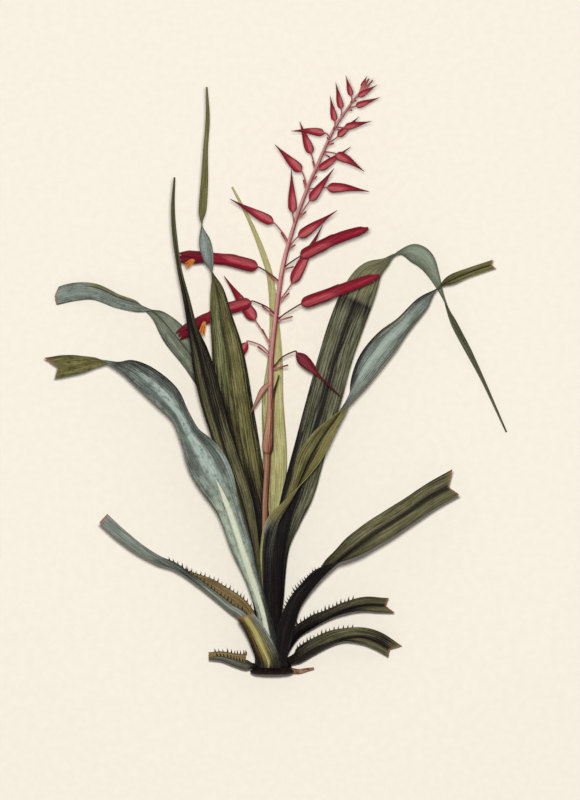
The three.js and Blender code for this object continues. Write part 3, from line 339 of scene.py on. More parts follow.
            (-1, 2.6, 4.6, 0.9, 0.9, 0.16, rgb(196, 184, 108), 0.95),
            # Painted sheen: a grey gleam down the middle of the black petiole.
            (-1, 0, 5, 0, 0, 0.8, rgb(108, 104, 88), 0.95),
        ],
    ),
    leaf_cut_right_upper=dict(
        slot="leaf_olive", sheath=(50, 11.8, 30, 7), notch=6, skew=-2.5, spines=(2.4, 5.3, 2.232, (1,)),
        upper=OLIVE, under=GREY_DARK, rib_upper=rgb(30, 27, 20), rib_under=GREY_DARK[1],
        margin=rgb(56, 52, 34), upper_rib=0.9, under_rib=0.2, cut=0.8, wave=(0.5, 34, 0.2), vein=0.7,
        rib=[(0, 1.5), (6, 2.2), (11, 2.8)],
        stations=[
            (11.8, 28, 29, 16, -140, 66, 10), (19.2, 45.1, 34, 17, -132, 66, 15),
            (29, 57, 37, 18.4, -118, 62, 22), (39.2, 67.4, 38.5, 18, -88, 56, 26),
            (48.9, 76.6, 38.5, 18.5, -54, 44, 16), (60, 85.6, 38, 19, -30, 30, 10),
            (74.5, 96.1, 36, 19.4, -15, 26, 8), (93.5, 108.2, 32, 18.6, -12, 26, 8),
            (111.5, 120.2, 28, 18.6, -10, 26, 8), (126, 128.3, 25, 18.8, -8, 24, 8),
        ],
        shade=[
            (0, 90, 95, 95, 100, 100), (1.4, 45, 80, 90, 95, 95), (2.6, 50, 90, 100, 95, 95),
            (3.4, 60, 95, 100, 90, 100), (4.6, 60, 80, 100, 100, 100), (5.4, 60, 60, 90, 90, 95),
            (6.4, 50, 40, 70, 40, 50), (8, 40, 20, 45, 15, 35), (11, 40, 15, 50, 10, 30),
        ],
    ),
    leaf_cut_right_middle=dict(
        slot="leaf_olive", sheath=(-14, 10.2, 25, 6), notch=4, skew=1.8, spines=(2.2, 5.6, 2.8, (-1,)),
        upper=OLIVE, under=GREY_DARK, rib_upper=INK, rib_under=GREY_DARK[1], margin=rgb(44, 40, 28),
        upper_rib=0.9, under_rib=0.3, cut=0.9, vein=0.75, rib=[(0, 2), (4, 2), (7, 1.8)],
        stations=[
            (18.2, 21, 13.6, 16.6, -68, 66, 25), (28.8, 28.4, 17, 16.4, -64, 66, 25),
            (40.7, 35.2, 18, 14.2, -58, 60, 20), (52.5, 40.4, 17.5, 13, -48, 50, 14),
            (66, 43.6, 15.5, 12.5, -32, 40, 10), (81.5, 43.2, 12, 11.8, -25, 30, 10),
        ],
        shade=[
            (0, 100, 100, 100, 100, 100), (3, 85, 90, 95, 100, 100), (4, 75, 70, 95, 100, 100),
            (5, 60, 50, 95, 95, 100), (6, 50, 45, 80, 40, 60), (7, 50, 50, 70, 5, 20),
        ],
    ),
    leaf_cut_right_lower=dict(
        slot="leaf_olive", sheath=(-22, 13.5, 30, 2.5), notch=3.6, skew=-3,
        spines=(2.2, 5.6, 2.736, (-1, 1)), upper=OLIVE, under=GREY_DARK, rib_upper=INK,
        rib_under=GREY_DARK[1], margin=rgb(44, 40, 28), upper_rib=0.85, under_rib=0.3, cut=0.9, vein=0.75,
        rib=[(0, 2), (4, 1.8), (8, 1.5)],
        stations=[
            (19.5, 3.8, 10.5, 20, -64, 70, 30), (30, 9.8, 11.5, 22, -60, 70, 35),
            (41, 15.8, 12.5, 19.6, -56, 60, 32), (52, 20.2, 13, 16.5, -48, 50, 22),
            (63, 21.1, 12.5, 15, -36, 36, 14), (73.5, 18, 11, 15, -30, 30, 10),
            (84, 11.8, 9, 13.4, -30, 30, 10),
        ],
        shade=[
            (0, 100, 100, 100, 100, 100), (2, 90, 85, 95, 100, 100), (3, 60, 60, 95, 100, 100),
            (4, 40, 50, 90, 95, 100), (5.2, 35, 40, 80, 60, 90), (6, 40, 50, 80, 15, 40),
            (7.4, 70, 80, 85, 10, 20), (8, 30, 30, 60, 10, 20),
        ],
    ),
)
SCAPE_AXIS = [
    (0, 8, 15, 3), (-2.5, 40, 17, 2.6), (-4.2, 75, 21.5, 2.3), (-4.6, 112, 26.5, 2.1),
    (-3.2, 139, 29.7, 2.2), (-3, 149.5, 31, 2.4), (-2.8, 153, 31.4, 3.7), (-2.6, 158, 32, 3.9),
    (-1.8, 168, 32.8, 3.1), (-1.1, 179, 33.9, 2.5), (-0.9, 192, 34.9, 1.9), (-0.2, 218, 37.5, 1.8),
    (3, 247, 40.5, 1.7), (7.4, 279, 43, 1.6), (14.5, 306, 45, 1.4), (23.5, 332, 46.5, 1.3),
    (33.5, 355.5, 48, 1.15), (43.5, 377, 49, 1), (56, 395.5, 50, 0.85), (61.6, 402.5, 50, 0.75),
]
# Blooms: name, base, tip, width, where the stalk leaves the stem, bow;
# open flowers also turn of the petals, u of the stamens' root and their fall.
BUDS = [
    ("bud_tip_first", (62.6, 406, 50.3), (66.5, 414, 51), 2.8, (61, 402, 50)),
    ("bud_tip_right", (60.5, 399.6, 53.2), (73.5, 407.5, 56), 4.2, (57.5, 397.5, 50)),
    ("bud_tip_lower", (58.6, 392.8, 47), (75.5, 399, 46), 4.6, (53.5, 391.5, 49.8)),
    ("bud_tip_left", (55.3, 400, 53), (51.5, 414, 57), 4, (55.6, 395, 50)),
    ("bud_left_first", (48.3, 391, 47.5), (44.5, 409.5, 47), 4.6, (48.7, 385.2, 49.5)),
    ("bud_left_second", (43.8, 382.5, 52), (40.6, 399.7, 55), 4.6, (43.2, 376.5, 49)),
    ("bud_right_first", (51, 378, 54), (69.3, 382, 60), 5, (44.5, 378.6, 49.2)),
    ("bud_right_second", (46, 371.7, 45.5), (60.9, 385.7, 43), 5, (38.8, 366.8, 48.6)),
    ("bud_left_third", (36.4, 373.8, 53.5), (13.3, 375.2, 57), 5.6, (40.6, 369.6, 48.8), 2),
    ("bud_left_fourth", (27.3, 359.8, 45), (19.3, 382.2, 43), 6.3, (30.1, 350, 47.8)),
    ("bud_right_third", (44.8, 359.1, 56), (64.4, 346.9, 62), 6.6, (37, 360.5, 48.4), 2),
    ("bud_right_fourth", (32.9, 348.6, 44), (55.3, 364.7, 41), 5.6, (28, 342, 47.2)),
    ("bud_left_fifth", (20.3, 347.2, 51), (2.1, 365.7, 55), 7, (23.8, 336.7, 46.9)),
    ("bud_left_sixth", (14.5, 318.5, 50), (13.5, 348.6, 54), 6.2, (16.1, 311.5, 45.4)),
    ("bud_right_fifth", (38.5, 336, 44), (67.9, 333.2, 46), 7, (24.6, 334.6, 46.7), 2),
    ("bud_right_sixth", (26.6, 326.9, 52), (43.4, 349.3, 60), 6.3, (19.6, 316.4, 45.7)),
    ("bud_left_seventh", (0.8, 311.4, 47), (-29.4, 328, 50), 7, (11.6, 297.5, 44.4)),
    ("bud_right_seventh", (18.6, 301.7, 50), (45.5, 319.9, 57), 7, (12.6, 294.7, 44.2)),
    ("bud_right_eighth", (14, 269.5, 39), (35.4, 309.8, 37), 7.8, (5.6, 257.6, 41.5)),
    ("bud_left_eighth", (-11.9, 243.6, 30), (-33.6, 274.4, 25), 8.4, (-1, 227.5, 38.4)),
    ("bud_left_ninth", (-17.5, 227.5, 34), (-33, 200, 28), 6.4, (-0.4, 219.1, 37.6), 3),
]
CLOSED_FLOWERS = [
    ("flower_right_upper", (20, 288, 50), (67.2, 307.6, 57), 8.4, (8, 280, 43.1), 3.4),
    ("flower_right_lower", (20.5, 254.6, 46), (75, 274.8, 51), 8.6, (4.5, 244.3, 40.4), -0.4),
]
OPEN_FLOWERS = [
    ("flower_left_upper", (-10, 280.5, 41), (-65.5, 287.2, 37), 9, (5.2, 270.2, 42.3), 6,
     0.25, 1.55, (-7.5, -7, -1)),
    ("flower_left_lower", (-14.7, 256.2, 37.6), (-65.6, 232.4, 31), 8.6, (2, 247.8, 40.7), 7,
     0.25, 1.26, (-2.5, -12, -1)),
]
FADED_FLOWER = ("flower_faded", (17.2, 220.5, 43.5), (47.6, 190.4, 38.5), 7.9, (1.2, 210.6, 36.7), -1)
STEM_BRACTS = [
    [(0.2, 181, 35.9, 2.4, 0, 60, 0), (1.3, 192, 37.6, 2, 0, 60, 0), (5, 205, 39.5, 0.6, 0, 20, 0)],
    [
        (-0.9, 200, 36.4, 2.4, 0, 60, 0), (-6.3, 194.6, 38.6, 4.2, 10, 50, 0),
        (-10.4, 187, 38.2, 2.7, 20, 50, 0), (-13.1, 182, 37.2, 1.6, 20, 30, 0),
        (-15.4, 177.4, 36, 0.5, 20, 20, 0),
    ],
]
TIP_BRACTS = [
    [(60.6, 401, 51.5, 1.2, 0, 60, 0), (64, 406.4, 52.5, 2.2, 0, 60, 0), (67.9, 411.8, 52.5, 0.4, 0, 20, 0)],
    [(61.8, 402, 50, 1.2, 0, 60, 0), (66.2, 406, 51, 1.6, 0, 60, 0), (70.4, 411, 51, 0.4, 0, 20, 0)],
]
BUD_PROFILE = [0.9, 0.98, 1, 0.98, 0.94, 0.87, 0.77, 0.66, 0.54, 0.43, 0.33, 0.24, 0.17, 0.11, 0.05]
FLOWER_PROFILE = [0.86, 1, 1, 0.97, 0.96, 0.97, 0.95, 0.88, 0.74, 0.34]
TUBE_PROFILE = [0.86, 1, 1, 0.98, 0.96, 0.95, 0.9]
FADED_PROFILE = [0.7, 1, 1, 0.78, 0.42, 0.2, 0.17, 0.18, 0.15, 0.08]
SEPALS = 3
BUD_DOME = 0.14
FLOWER_DOME = 0.07
TUBE_DOME = 0.1
BUD_TWIST = 0.9
FLOWER_TWIST = 0.55
TUBE_TWIST = 0.5
TUBE_SHARE = 0.68
TUBE_SLIMNESS = 0.9
# Share of the length, distance from the axis and width of each station of a petal, the last two in radii.
PETAL_STATIONS = [(0.5, 0.5, 1.2), (0.66, 0.7, 1.9), (0.86, 0.92, 1.9), (1.0, 0.75, 0.3)]
PETAL_CURL = 100
CALYX_WALL = 0.35
CALYX_SIDES = 48
CALYX_RINGS = 22
INNER_RINGS = 18
STAMENS = 5
STAMEN_SPACING = 0.85
FILAMENT_RADIUS = 0.24
ANTHER_RADIUS = 0.5
BRACT_LENGTH = 5
BRACT_TURN = 0.28
BRACT_WIDTHS = (1.2, 1.05, 0.75, 0.45, 0.12)
CROWN_SIDES = 96
# Distance along the axis and radius of each ring of the crown.
CROWN_RINGS = [
    (-4.6, 5), (-4.75, 10), (-4.3, 13.2), (-3.2, 15.1), (-2.2, 15.2), (-1.2, 13.9), (1.5, 9.5), (4.5, 4.6),
    (6.2, 1.8),
]
CROWN_WAVES = (5, 9, 14, 21, 33)
ROOT_AXIS = [(12, -2.2, 7), (20, -2.6, 5), (29.3, -0.8, 2.6)]

# Which part of a bloom or stem a vertex belongs to, for its colour.
BUD, CALYX, PETAL, FILAMENT, ANTHER, SMALL_BRACT, AXIS, STALK, LEAFY_BRACT = map(float, range(9))


# Splines

def spline(rows, u):
    """Uniform Catmull-Rom with the ends carried on in a straight line; u is an array."""
    rows = np.asarray(rows, float)
    last = len(rows) - 1
    padded = np.vstack([2 * rows[0] - rows[1], rows, 2 * rows[-1] - rows[-2]])
    i = np.clip(np.floor(u).astype(int), 0, last - 1)
    t = (u - i)[:, None]
    p0, p1, p2, p3 = (padded[i + k] for k in range(4))
    square = 2 * p0 - 5 * p1 + 4 * p2 - p3
    cube = -p0 + 3 * p1 - 3 * p2 + p3
    return 0.5 * (2 * p1 + (p2 - p0) * t + square * t ** 2 + cube * t ** 3)


def unit(v):
    return v / np.linalg.norm(v, axis=-1, keepdims=True)


def tangents(rows, u):
    ahead = spline(rows, np.minimum(u + 0.02, len(rows) - 1))[:, :3]
    behind = spline(rows, np.maximum(u - 0.02, 0))[:, :3]
    return unit(ahead - behind)


def lengths(points):
    return np.concatenate([[0], np.cumsum(np.linalg.norm(np.diff(points, axis=0), axis=1))])


def stations_along(rows, step):
    """Spline parameters spaced by about the step along the rib, hitting every station."""
    u = [0.0]
    for k in range(len(rows) - 1):
        fine = spline(rows, np.linspace(k, k + 1, 9))[:, :3]
        count = max(3, math.ceil(lengths(fine)[-1] / step))
        u.extend(k + np.arange(1, count + 1) / count)
    return np.array(u)


def smooth(x, low, high):
    t = np.clip((x - low) / (high - low), 0, 1)
    return t * t * (3 - 2 * t)


# Meshes and pieces

class Body:
    """Closed shells gathered into one piece, with point attributes of three numbers a vertex."""

    def __init__(self, *keys):
        self.verts, self.faces, self.count = [], [], 0
        self.marks = {key: [] for key in keys}

    def add(self, verts, faces, **marks):
        self.faces.extend(tuple(k + self.count for k in face) for face in faces)
        self.verts.append(verts)
        self.count += len(verts)
        for key, layer in self.marks.items():
            layer.append(np.stack([np.broadcast_to(column, len(verts)) for column in marks[key]], axis=1))

    def piece(self, node, material, slot):
        """The mesh in metres that takes the node's place on the plant's only body."""
        mesh = bpy.data.meshes.new("fine_" + node)
        mesh.from_pydata((np.vstack(self.verts) * MM).tolist(), [], self.faces)
        for key, layer in self.marks.items():
            attribute = mesh.attributes.new(key, "FLOAT_VECTOR", "POINT")
            attribute.data.foreach_set("vector", np.vstack(layer).astype(np.float32).ravel())
        mesh.polygons.foreach_set("use_smooth", np.ones(len(mesh.polygons), bool))
        mesh.set_sharp_from_angle(angle=math.radians(SHARP_ANGLE))
        mesh.materials.append(material)
        piece = bpy.data.objects.new("fine_" + node, mesh)
        bpy.context.scene.collection.objects.link(piece)
        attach(piece, "root")
        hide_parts(node)


def grid_faces(rows, ring, capped=True):
    """Quads over rows of rings, each ring anticlockwise seen from the far end, and its two caps."""
    r = np.arange(rows - 1)[:, None] * ring
    k = np.arange(ring)[None, :]
    k_next = (k + 1) % ring
    quads = np.stack([r + k, r + k_next, r + k_next + ring, r + k + ring], axis=-1).reshape(-1, 4)
    faces = [tuple(q) for q in quads.tolist()]
    if capped:
        faces.append(tuple(range(ring - 1, -1, -1)))
        faces.append(tuple(range((rows - 1) * ring, rows * ring)))
    return faces


# Blades

def blade_frames(rows, u):
    values = spline(rows, u)
    along = tangents(rows, u)
    level = unit(UP - along * along[:, 2:3])
    roll = np.radians(values[:, 4:5])
    normal = level * np.cos(roll) + np.cross(along, level) * np.sin(roll)
    return {
        "point": values[:, :3], "along": along, "normal": normal, "out": np.cross(along, normal),
        "width": np.maximum(values[:, 3], 1), "curl": np.radians(values[:, 5]),
        "fold": np.radians(values[:, 6]),
    }


def across(frames, half_columns):
    """Out, rise and slope of the cross-section from the left edge to the right; the crease is rounded."""
    step = frames["width"][:, None] / 2 / half_columns
    bend = np.maximum(frames["curl"][:, None], 0.02) / 2
    fold = frames["fold"][:, None]

    def slope(s):
        return fold * np.tanh(s / CREASE) + s * bend
    middle = slope((np.arange(half_columns) + 0.5)[None, :] / half_columns)
    out = np.cumsum(np.cos(middle) * step, axis=1)
    rise = np.cumsum(np.sin(middle) * step, axis=1)
    slopes = slope(np.arange(half_columns + 1)[None, :] / half_columns)
    zero = np.zeros((len(out), 1))
    out = np.hstack([-out[:, ::-1], zero, out])
    rise = np.hstack([rise[:, ::-1], zero, rise])
    return out, rise, np.hstack([-slopes[:, :0:-1], slopes])


def blade_shell(rows, step, columns, thickness, edge, notch=0, skew=0, wave=(0, 30, 0), ridge=0.0):
    """A closed ribbon, and for each vertex its s, length, half width, face, u and length left to the tip."""
    u = stations_along(rows, step)
    frames = blade_frames(rows, u)
    s = np.linspace(-1, 1, columns + 1)[None, :]
    out, rise, slope = across(frames, columns // 2)
    length = lengths(frames["point"])[:, None]
    width = frames["width"][:, None]
    height, period, phase = wave
    turns = TURN * length / period
    left = np.sin(turns + phase) + 0.5 * np.sin(1.73 * turns + 2 * phase)
    right = np.sin(0.87 * turns + 2.1 + phase) + 0.5 * np.sin(1.51 * turns + phase)
    fade = np.clip(width / FULL_WAVE_WIDTH, 0, 1)
    rise = rise + height * fade * np.abs(s) ** 3 * np.where(s < 0, left, right)
    rise = rise + ridge * fade * np.cos(s * np.pi * RIDGES) * (1 - s ** 4)
    point, along, normal, sideways = (frames[key][:, None, :] for key in ("point", "along", "normal", "out"))
    points = point + sideways * out[..., None] + normal * rise[..., None]
    rng = np.random.default_rng(len(rows) * 7 + int(abs(rows[2][0]) * 10))
    ragged = rng.uniform(-CUT_RAGGED, CUT_RAGGED, columns + 1)[None, :] if notch or skew else 0
    end = np.clip((u - (len(rows) - 1.5)) / 0.5, 0, 1)[:, None]
    shift = end * (notch * (np.abs(s) - 0.5) + skew * s) + end ** 6 * ragged
    points = points + along * shift[..., None]
    half = (normal * np.cos(slope)[..., None] - sideways * np.sin(slope)[..., None])
    half = half * ((thickness + (edge - thickness) * s ** 2) / 2)[..., None]
    verts = np.concatenate([points + half, (points - half)[:, ::-1]], axis=1)
    ring = 2 * (columns + 1)
    facts = {
        "s": np.hstack([s, s[:, ::-1]]), "length": length, "half": width / 2, "u": u[:, None],
        "side": np.repeat([[1, -1]], columns + 1, axis=1), "left": length[-1] - length,
    }
    faces = grid_faces(len(u), ring, False)
    last = ring - 1
    start = (len(u) - 1) * ring
    for c in range(columns):
        faces.append((c, last - c, last - c - 1, c + 1))
        faces.append((start + c, start + c + 1, start + last - c - 1, start + last - c))
    facts = {key: np.broadcast_to(value, (len(u), ring)).ravel() for key, value in facts.items()}
    return verts.reshape(-1, 3), faces, facts


def thorn_shell(root, outward, along, flat, size):
    """A hooked, flattened thorn whose point leans to the leaf's tip."""
    angle = (np.arange(THORN_SIDES) * math.pi / 3)[:, None]
    rings = []
    for share, width in zip(THORN_SHARES, THORN_WIDTHS * size):
        centre = root + outward * (share * size * 1.15 - 0.3) + along * (0.55 * size * share ** 2)
        rings.append(centre + np.cos(angle) * along * width * 0.5 + np.sin(angle) * flat * width * 0.3)
    verts = np.array(rings)
    if np.dot(np.cross(along, flat), outward) < 0:
        verts = verts[:, ::-1]
    return verts.reshape(-1, 3), grid_faces(len(rings), THORN_SIDES), np.repeat(THORN_SHARES, THORN_SIDES)


def thorn_places(rows, start, stop, pitch):
    travelled = pitch / 2
    u = np.arange(start, stop + 1e-9, 0.02)
    points = spline(rows, u)[:, :3]
    places = []
    for here, step in zip(u, np.linalg.norm(np.diff(points, axis=0, prepend=points[:1]), axis=1)):
        travelled += step
        if travelled >= pitch:
            travelled -= pitch
            places.append(here)
    return np.array(places)


def sheath_rows(azimuth, radius, half_span, rise):
    angle = math.radians(azimuth)
    x = radius * math.cos(angle)
    z = CROWN_AXIS_HEIGHT + radius * math.sin(angle)
    width = 2 * math.radians(half_span) * radius
    inner = radius - CAD_BLADE_THICKNESS
    seat = CROWN_SHOULDER_Y + CROWN_CONE_SLOPE * (CROWN_RADIUS - inner) + SEAT_GAP
    return [(x, y, z, width, -90 - azimuth, 2 * half_span, 0) for y in (seat, seat + rise)]


def painted(shades, u, s):
    """Darkness at each point from rows of u and five shades at s = -1, -0.5, 0, 0.5, 1."""
    table = np.array(shades, float)
    column = np.clip((s + 1) / 0.5, 0, 4)
    low = np.minimum(column.astype(int), 3)
    share = column - low
    share = share * share * (3 - 2 * share)
    at_u = np.stack([np.interp(u, table[:, 0], hundredths / 100) for hundredths in table[:, 1:].T], axis=1)
    rows = np.arange(len(u))
    return at_u[rows, low] * (1 - share) + at_u[rows, low + 1] * share


def brushed(strokes, side, u, s):
    """Colour and strength at each point from the strokes, each painted over those before it."""
    colour = np.zeros((len(u), 3))
    share = np.zeros(len(u))
    for face, u0, u1, s0, s1, wide, tint, strength in strokes:
        ends = smooth(u, u0 - 0.35, u0 + 0.35) * (1 - smooth(u, u1 - 0.35, u1 + 0.35))
        middle = s0 + (s1 - s0) * np.clip((u - u0) / (u1 - u0), 0, 1)
        mask = ends * (1 - smooth(np.abs(s - middle), wide * 0.45, wide)) * strength * (side * face > 0)
        total = mask + share * (1 - mask)
        keep = (share * (1 - mask) / np.maximum(total, 1e-6))[:, None]
        colour = colour * keep + np.array(tint) * (1 - keep)
        share = total
    return colour, share


def add_thorns(body, name, rows, spines, lean_side, lean_angle):
    start, stop, pitch, sides = spines
    rng = np.random.default_rng(len(name))
    for side in sides:
        places = thorn_places(rows, start, stop, pitch)
        frames = blade_frames(rows, places)
        out, rise, slope = across(frames, BLADE_COLUMNS // 2)
        column = 0 if side < 0 else -1
        for k, u in enumerate(places):
            point, along, normal, sideways = (frames[key][k] for key in ("point", "along", "normal", "out"))
            root = point + sideways * out[k, column] + normal * rise[k, column]
            lean = slope[k, column] + (side * math.radians(lean_angle) if side == lean_side else 0)
            outward = side * (sideways * math.cos(lean) + normal * math.sin(lean))
            flat = unit(np.cross(along, outward))
            size = THORN_LENGTH * rng.uniform(0.7, 1.1)
            verts, faces, share = thorn_shell(root, outward, along, flat, size)
            tip = 0.6 + 0.4 * share
            body.add(verts, faces, place=(side, u, 1), tone=(1, 0.1, 1), mark=(0, tip, 0), paint=(0, 0, 0))


def make_leaf(name, leaf):
    rows = sheath_rows(*leaf["sheath"]) + leaf["stations"]
    verts, faces, facts = blade_shell(
        rows, SECTION_STEP, BLADE_COLUMNS, BLADE_THICKNESS, BLADE_EDGE,
        leaf.get("notch", 0), leaf.get("skew", 0), leaf.get("wave", LEAF_WAVE), RIDGE_HEIGHT,
    )
    s, u, side = facts["s"], facts["u"], facts["side"]
    rib = np.interp(u, *zip(*leaf["rib"]))
    cut = 1 - smooth(facts["left"], 0.6, leaf["cut"] + 0.61) if "cut" in leaf else 0
    paint, stroke = brushed(leaf.get("strokes", ()), side, u, s)
    body = Body("place", "tone", "mark", "paint")
    body.add(
        verts, faces, place=(s, facts["length"], facts["half"]),
        tone=(side, painted(leaf["shade"], u, s), rib), mark=(cut, 0, stroke), paint=paint.T,
    )
    if "spines" in leaf:
        add_thorns(body, name, rows, leaf["spines"], *leaf.get("lean", (0, 0)))
    body.piece(name, leaf_material(name, leaf), leaf["slot"])


# Materials

class Shader:
    """A node material with short calls for the nodes used here."""

    def __init__(self, name):
        self.material = bpy.data.materials.new(name)
        self.material.use_nodes = True
        self.tree = self.material.node_tree
        self.surface = self.tree.nodes["Principled BSDF"]

    def node(self, kind, *values, **settings):
        made = self.tree.nodes.new(kind)
        for key, value in settings.items():
            setattr(made, key, value)
        for socket, value in zip(made.inputs, values):
            self.put(socket, value)
        return made

    def put(self, socket, value):
        if isinstance(value, bpy.types.NodeSocket):
            self.tree.links.new(value, socket)
        elif isinstance(value, (tuple, list)) and len(value) == 3 and socket.type == "RGBA":
            socket.default_value = (*value, 1)
        else:
            socket.default_value = value

    def attribute(self, name):
        parts = self.node("ShaderNodeSeparateXYZ")
        self.put(parts.inputs[0], self.node("ShaderNodeAttribute", attribute_name=name).outputs["Vector"])
        return tuple(parts.outputs)

    def math(self, operation, a, b=0.0, clamp=False):
        return self.node("ShaderNodeMath", a, b, operation=operation, use_clamp=clamp).outputs[0]

    def times(self, a, b):
        return self.math("MULTIPLY", a, b)

    def plus(self, a, b, clamp=False):
        return self.math("ADD", a, b, clamp)

    def size(self, a):
        return self.math("ABSOLUTE", a)

    def vector(self, x, y, z):
        return self.node("ShaderNodeCombineXYZ", x, y, z).outputs[0]

    def around(self, angle, length, reach, pull):
        """A place for noise on a tube, without a seam."""
        x = self.times(self.math("SINE", angle), reach)
        y = self.times(self.math("COSINE", angle), reach)
        return self.vector(x, y, self.times(length, pull))

    def noise(self, vector, scale, detail=2.0, roughness=0.5):
        made = self.node("ShaderNodeTexNoise")
        values = {"Vector": vector, "Scale": scale, "Detail": detail, "Roughness": roughness}
        for key, value in values.items():
            self.put(made.inputs[key], value)
        return made.outputs["Fac"]

    def span(self, value, low, high, to_low=0.0, to_high=1.0):
        kind = "ShaderNodeMapRange"
        return self.node(kind, value, low, high, to_low, to_high, interpolation_type="SMOOTHSTEP").outputs[0]

    def from_part(self, part, first):
        """1 from this part of the bloom or stem on, 0 before it."""
        return self.span(part, first - 0.6, first - 0.4)

    def mix(self, share, a, b):
        made = self.node("ShaderNodeMix", data_type="RGBA", clamp_factor=True)
        for place, value in ((0, share), (6, a), (7, b)):
            self.put(made.inputs[place], value)
        return made.outputs[2]

    def bump(self, height, distance, strength):
        made = self.node("ShaderNodeBump")
        for key, value in (("Height", height), ("Distance", distance), ("Strength", strength)):
            self.put(made.inputs[key], value)
        return made.outputs[0]

    def finish(self, colour, roughness, normal=None, specular=0.1):
        self.put(self.surface.inputs["Base Color"], colour)
        self.put(self.surface.inputs["Roughness"], roughness)
        if normal is not None:
            self.put(self.surface.inputs["Normal"], normal)
        self.surface.inputs["Specular IOR Level"].default_value = specular
        self.surface.inputs["Sheen Weight"].default_value = 0.0
        return self.material


def leaf_material(name, leaf):
    """Two-sided leaf skin: fine veins that follow the blade, streaks, grain, strokes, rib and shading."""
    m = Shader("skin_" + name)
    s, length, half = m.attribute("place")
    side, shade, rib = m.attribute("tone")
    cut, thorn, stroke = m.attribute("mark")
    paint = m.node("ShaderNodeAttribute", attribute_name="paint").outputs["Color"]
    seed = float(sum(map(ord, name)) % 97)
    face = m.span(side, -0.2, 0.2)
    from_rib = m.size(s)
    offset = m.times(s, half)
    distance = m.times(from_rib, half)

    def field(wide, wide_scale, long_scale, detail, roughness):
        place = m.vector(m.times(wide, wide_scale), m.times(length, long_scale), seed)
        return m.noise(place, 1.0, detail, roughness)

    phase = m.plus(m.times(s, 38), m.times(field(s, 3, 0.02, 3.0, 0.6), 22))
    fine = m.span(m.math("SINE", phase), -0.3, 0.95)
    streak = m.span(field(s, 9, 0.02, 4.0, 0.75), 0.4, 0.62)
    blotch = field(s, 2.2, 0.05, 4.0, 0.6)
    speck = field(offset, 1.5, 0.8, 3.0, 0.7)
    cloud = field(offset, 0.3, 0.16, 4.0, 0.7)
    lines = m.plus(m.times(fine, 0.55), m.times(streak, 0.45), True)

    upper = m.mix(m.span(blotch, 0.34, 0.66), leaf["upper"][0], leaf["upper"][1])
    under = m.mix(m.span(blotch, 0.36, 0.64), leaf["under"][0], leaf["under"][1])
    colour = m.mix(stroke, m.mix(face, under, upper), paint)
    deep = m.mix(face, leaf["under"][2], leaf["upper"][2])
    light = m.mix(face, leaf["under"][0], leaf["upper"][0])

    width = m.math("MAXIMUM", m.size(rib), 0.05)
    core = m.span(distance, m.times(width, 0.4), width, 1.0, 0.0)
    rib_share = m.span(face, 0, 1, leaf.get("under_rib", 0.8), leaf.get("upper_rib", 0.7))
    rib_share = m.times(core, m.times(rib_share, m.span(width, 0.3, 0.8)))
    colour = m.mix(rib_share, colour, m.mix(face, leaf["rib_under"], leaf["rib_upper"]))
    vein = m.span(face, 0, 1, leaf.get("under_vein", 0.6), leaf.get("vein", 0.8))
    vein = m.times(vein, m.math("SUBTRACT", 1, m.times(core, 0.6)))
    colour = m.mix(m.times(lines, vein), colour, deep)
    colour = m.mix(m.times(m.span(speck, 0.52, 0.72), 0.5), colour, deep)
    clouded = m.times(m.span(cloud, 0.46, 0.66), leaf.get("cloud", 0.2))
    clear = m.math("SUBTRACT", 1, m.times(core, 0.85))
    colour = m.mix(m.times(clouded, clear), colour, deep)
    colour = m.mix(m.times(m.span(speck, 0.46, 0.28), 0.3), colour, light)
    colour = m.mix(m.times(m.span(from_rib, 0.93, 0.99), 0.6), colour, leaf["margin"])

    line_edge = m.times(m.math("SUBTRACT", lines, 0.5), 0.35)
    speck_edge = m.times(m.math("SUBTRACT", speck, 0.5), 0.6)
    rough_edge = m.times(m.plus(line_edge, speck_edge), m.span(shade, 0.02, 0.3))
    # Painted shade: the shade rows darken the blade towards near black.
    colour = m.mix(m.span(m.plus(shade, rough_edge), 0.05, 0.95), colour, SHADE_BLACK)
    colour = m.mix(m.times(cut, m.span(speck, 0.35, 0.6, 0.4, 0.9)), colour, CUT_COLOUR)
    colour = m.mix(thorn, colour, THORN_COLOUR)
    relief = m.plus(m.times(lines, -1.0), m.times(speck, 0.35))
    return m.finish(colour, m.span(blotch, 0.3, 0.7, 0.55, 0.7), m.bump(relief, 0.00018, 0.7))


# Raceme

def tube_shell(rows, radius_at, sides, step):
    """A tube along a spline. radius_at takes the share of the length and the angle, both as arrays."""
    rows = np.asarray(rows, float)[:, :3]
    u = stations_along(rows, step)
    centre = spline(rows, u)
    along = tangents(rows, u)
    share = (u / (len(rows) - 1))[:, None]
    side = np.cross(UP, along[0])
    sides_at = []
    for tangent in along:
        side = unit(side - tangent * np.dot(side, tangent))
        sides_at.append(side)
    sides_at = np.array(sides_at)
    fronts_at = np.cross(along, sides_at)
    angle = (np.arange(sides) / sides * TURN)[None, :]
    radius = radius_at(share, angle)
    across_at = sides_at[:, None, :] * (radius * np.cos(angle))[..., None]
    verts = centre[:, None, :] + across_at + fronts_at[:, None, :] * (radius * np.sin(angle))[..., None]
    facts = {"share": share, "angle": angle, "length": lengths(centre)[:, None], "radius": radius}
    facts = {key: np.broadcast_to(value, radius.shape).ravel() for key, value in facts.items()}
    return verts.reshape(-1, 3), grid_faces(len(u), sides), facts


def add_tube(body, rows, radius_at, sides, step, part, seam_at=lambda angle, share: 0.5):
    verts, faces, facts = tube_shell(rows, radius_at, sides, step)
    share, angle = facts["share"], facts["angle"]
    tone = (seam_at(angle, share), part, facts["radius"])
    body.add(verts, faces, place=(share, angle, facts["length"]), tone=tone)


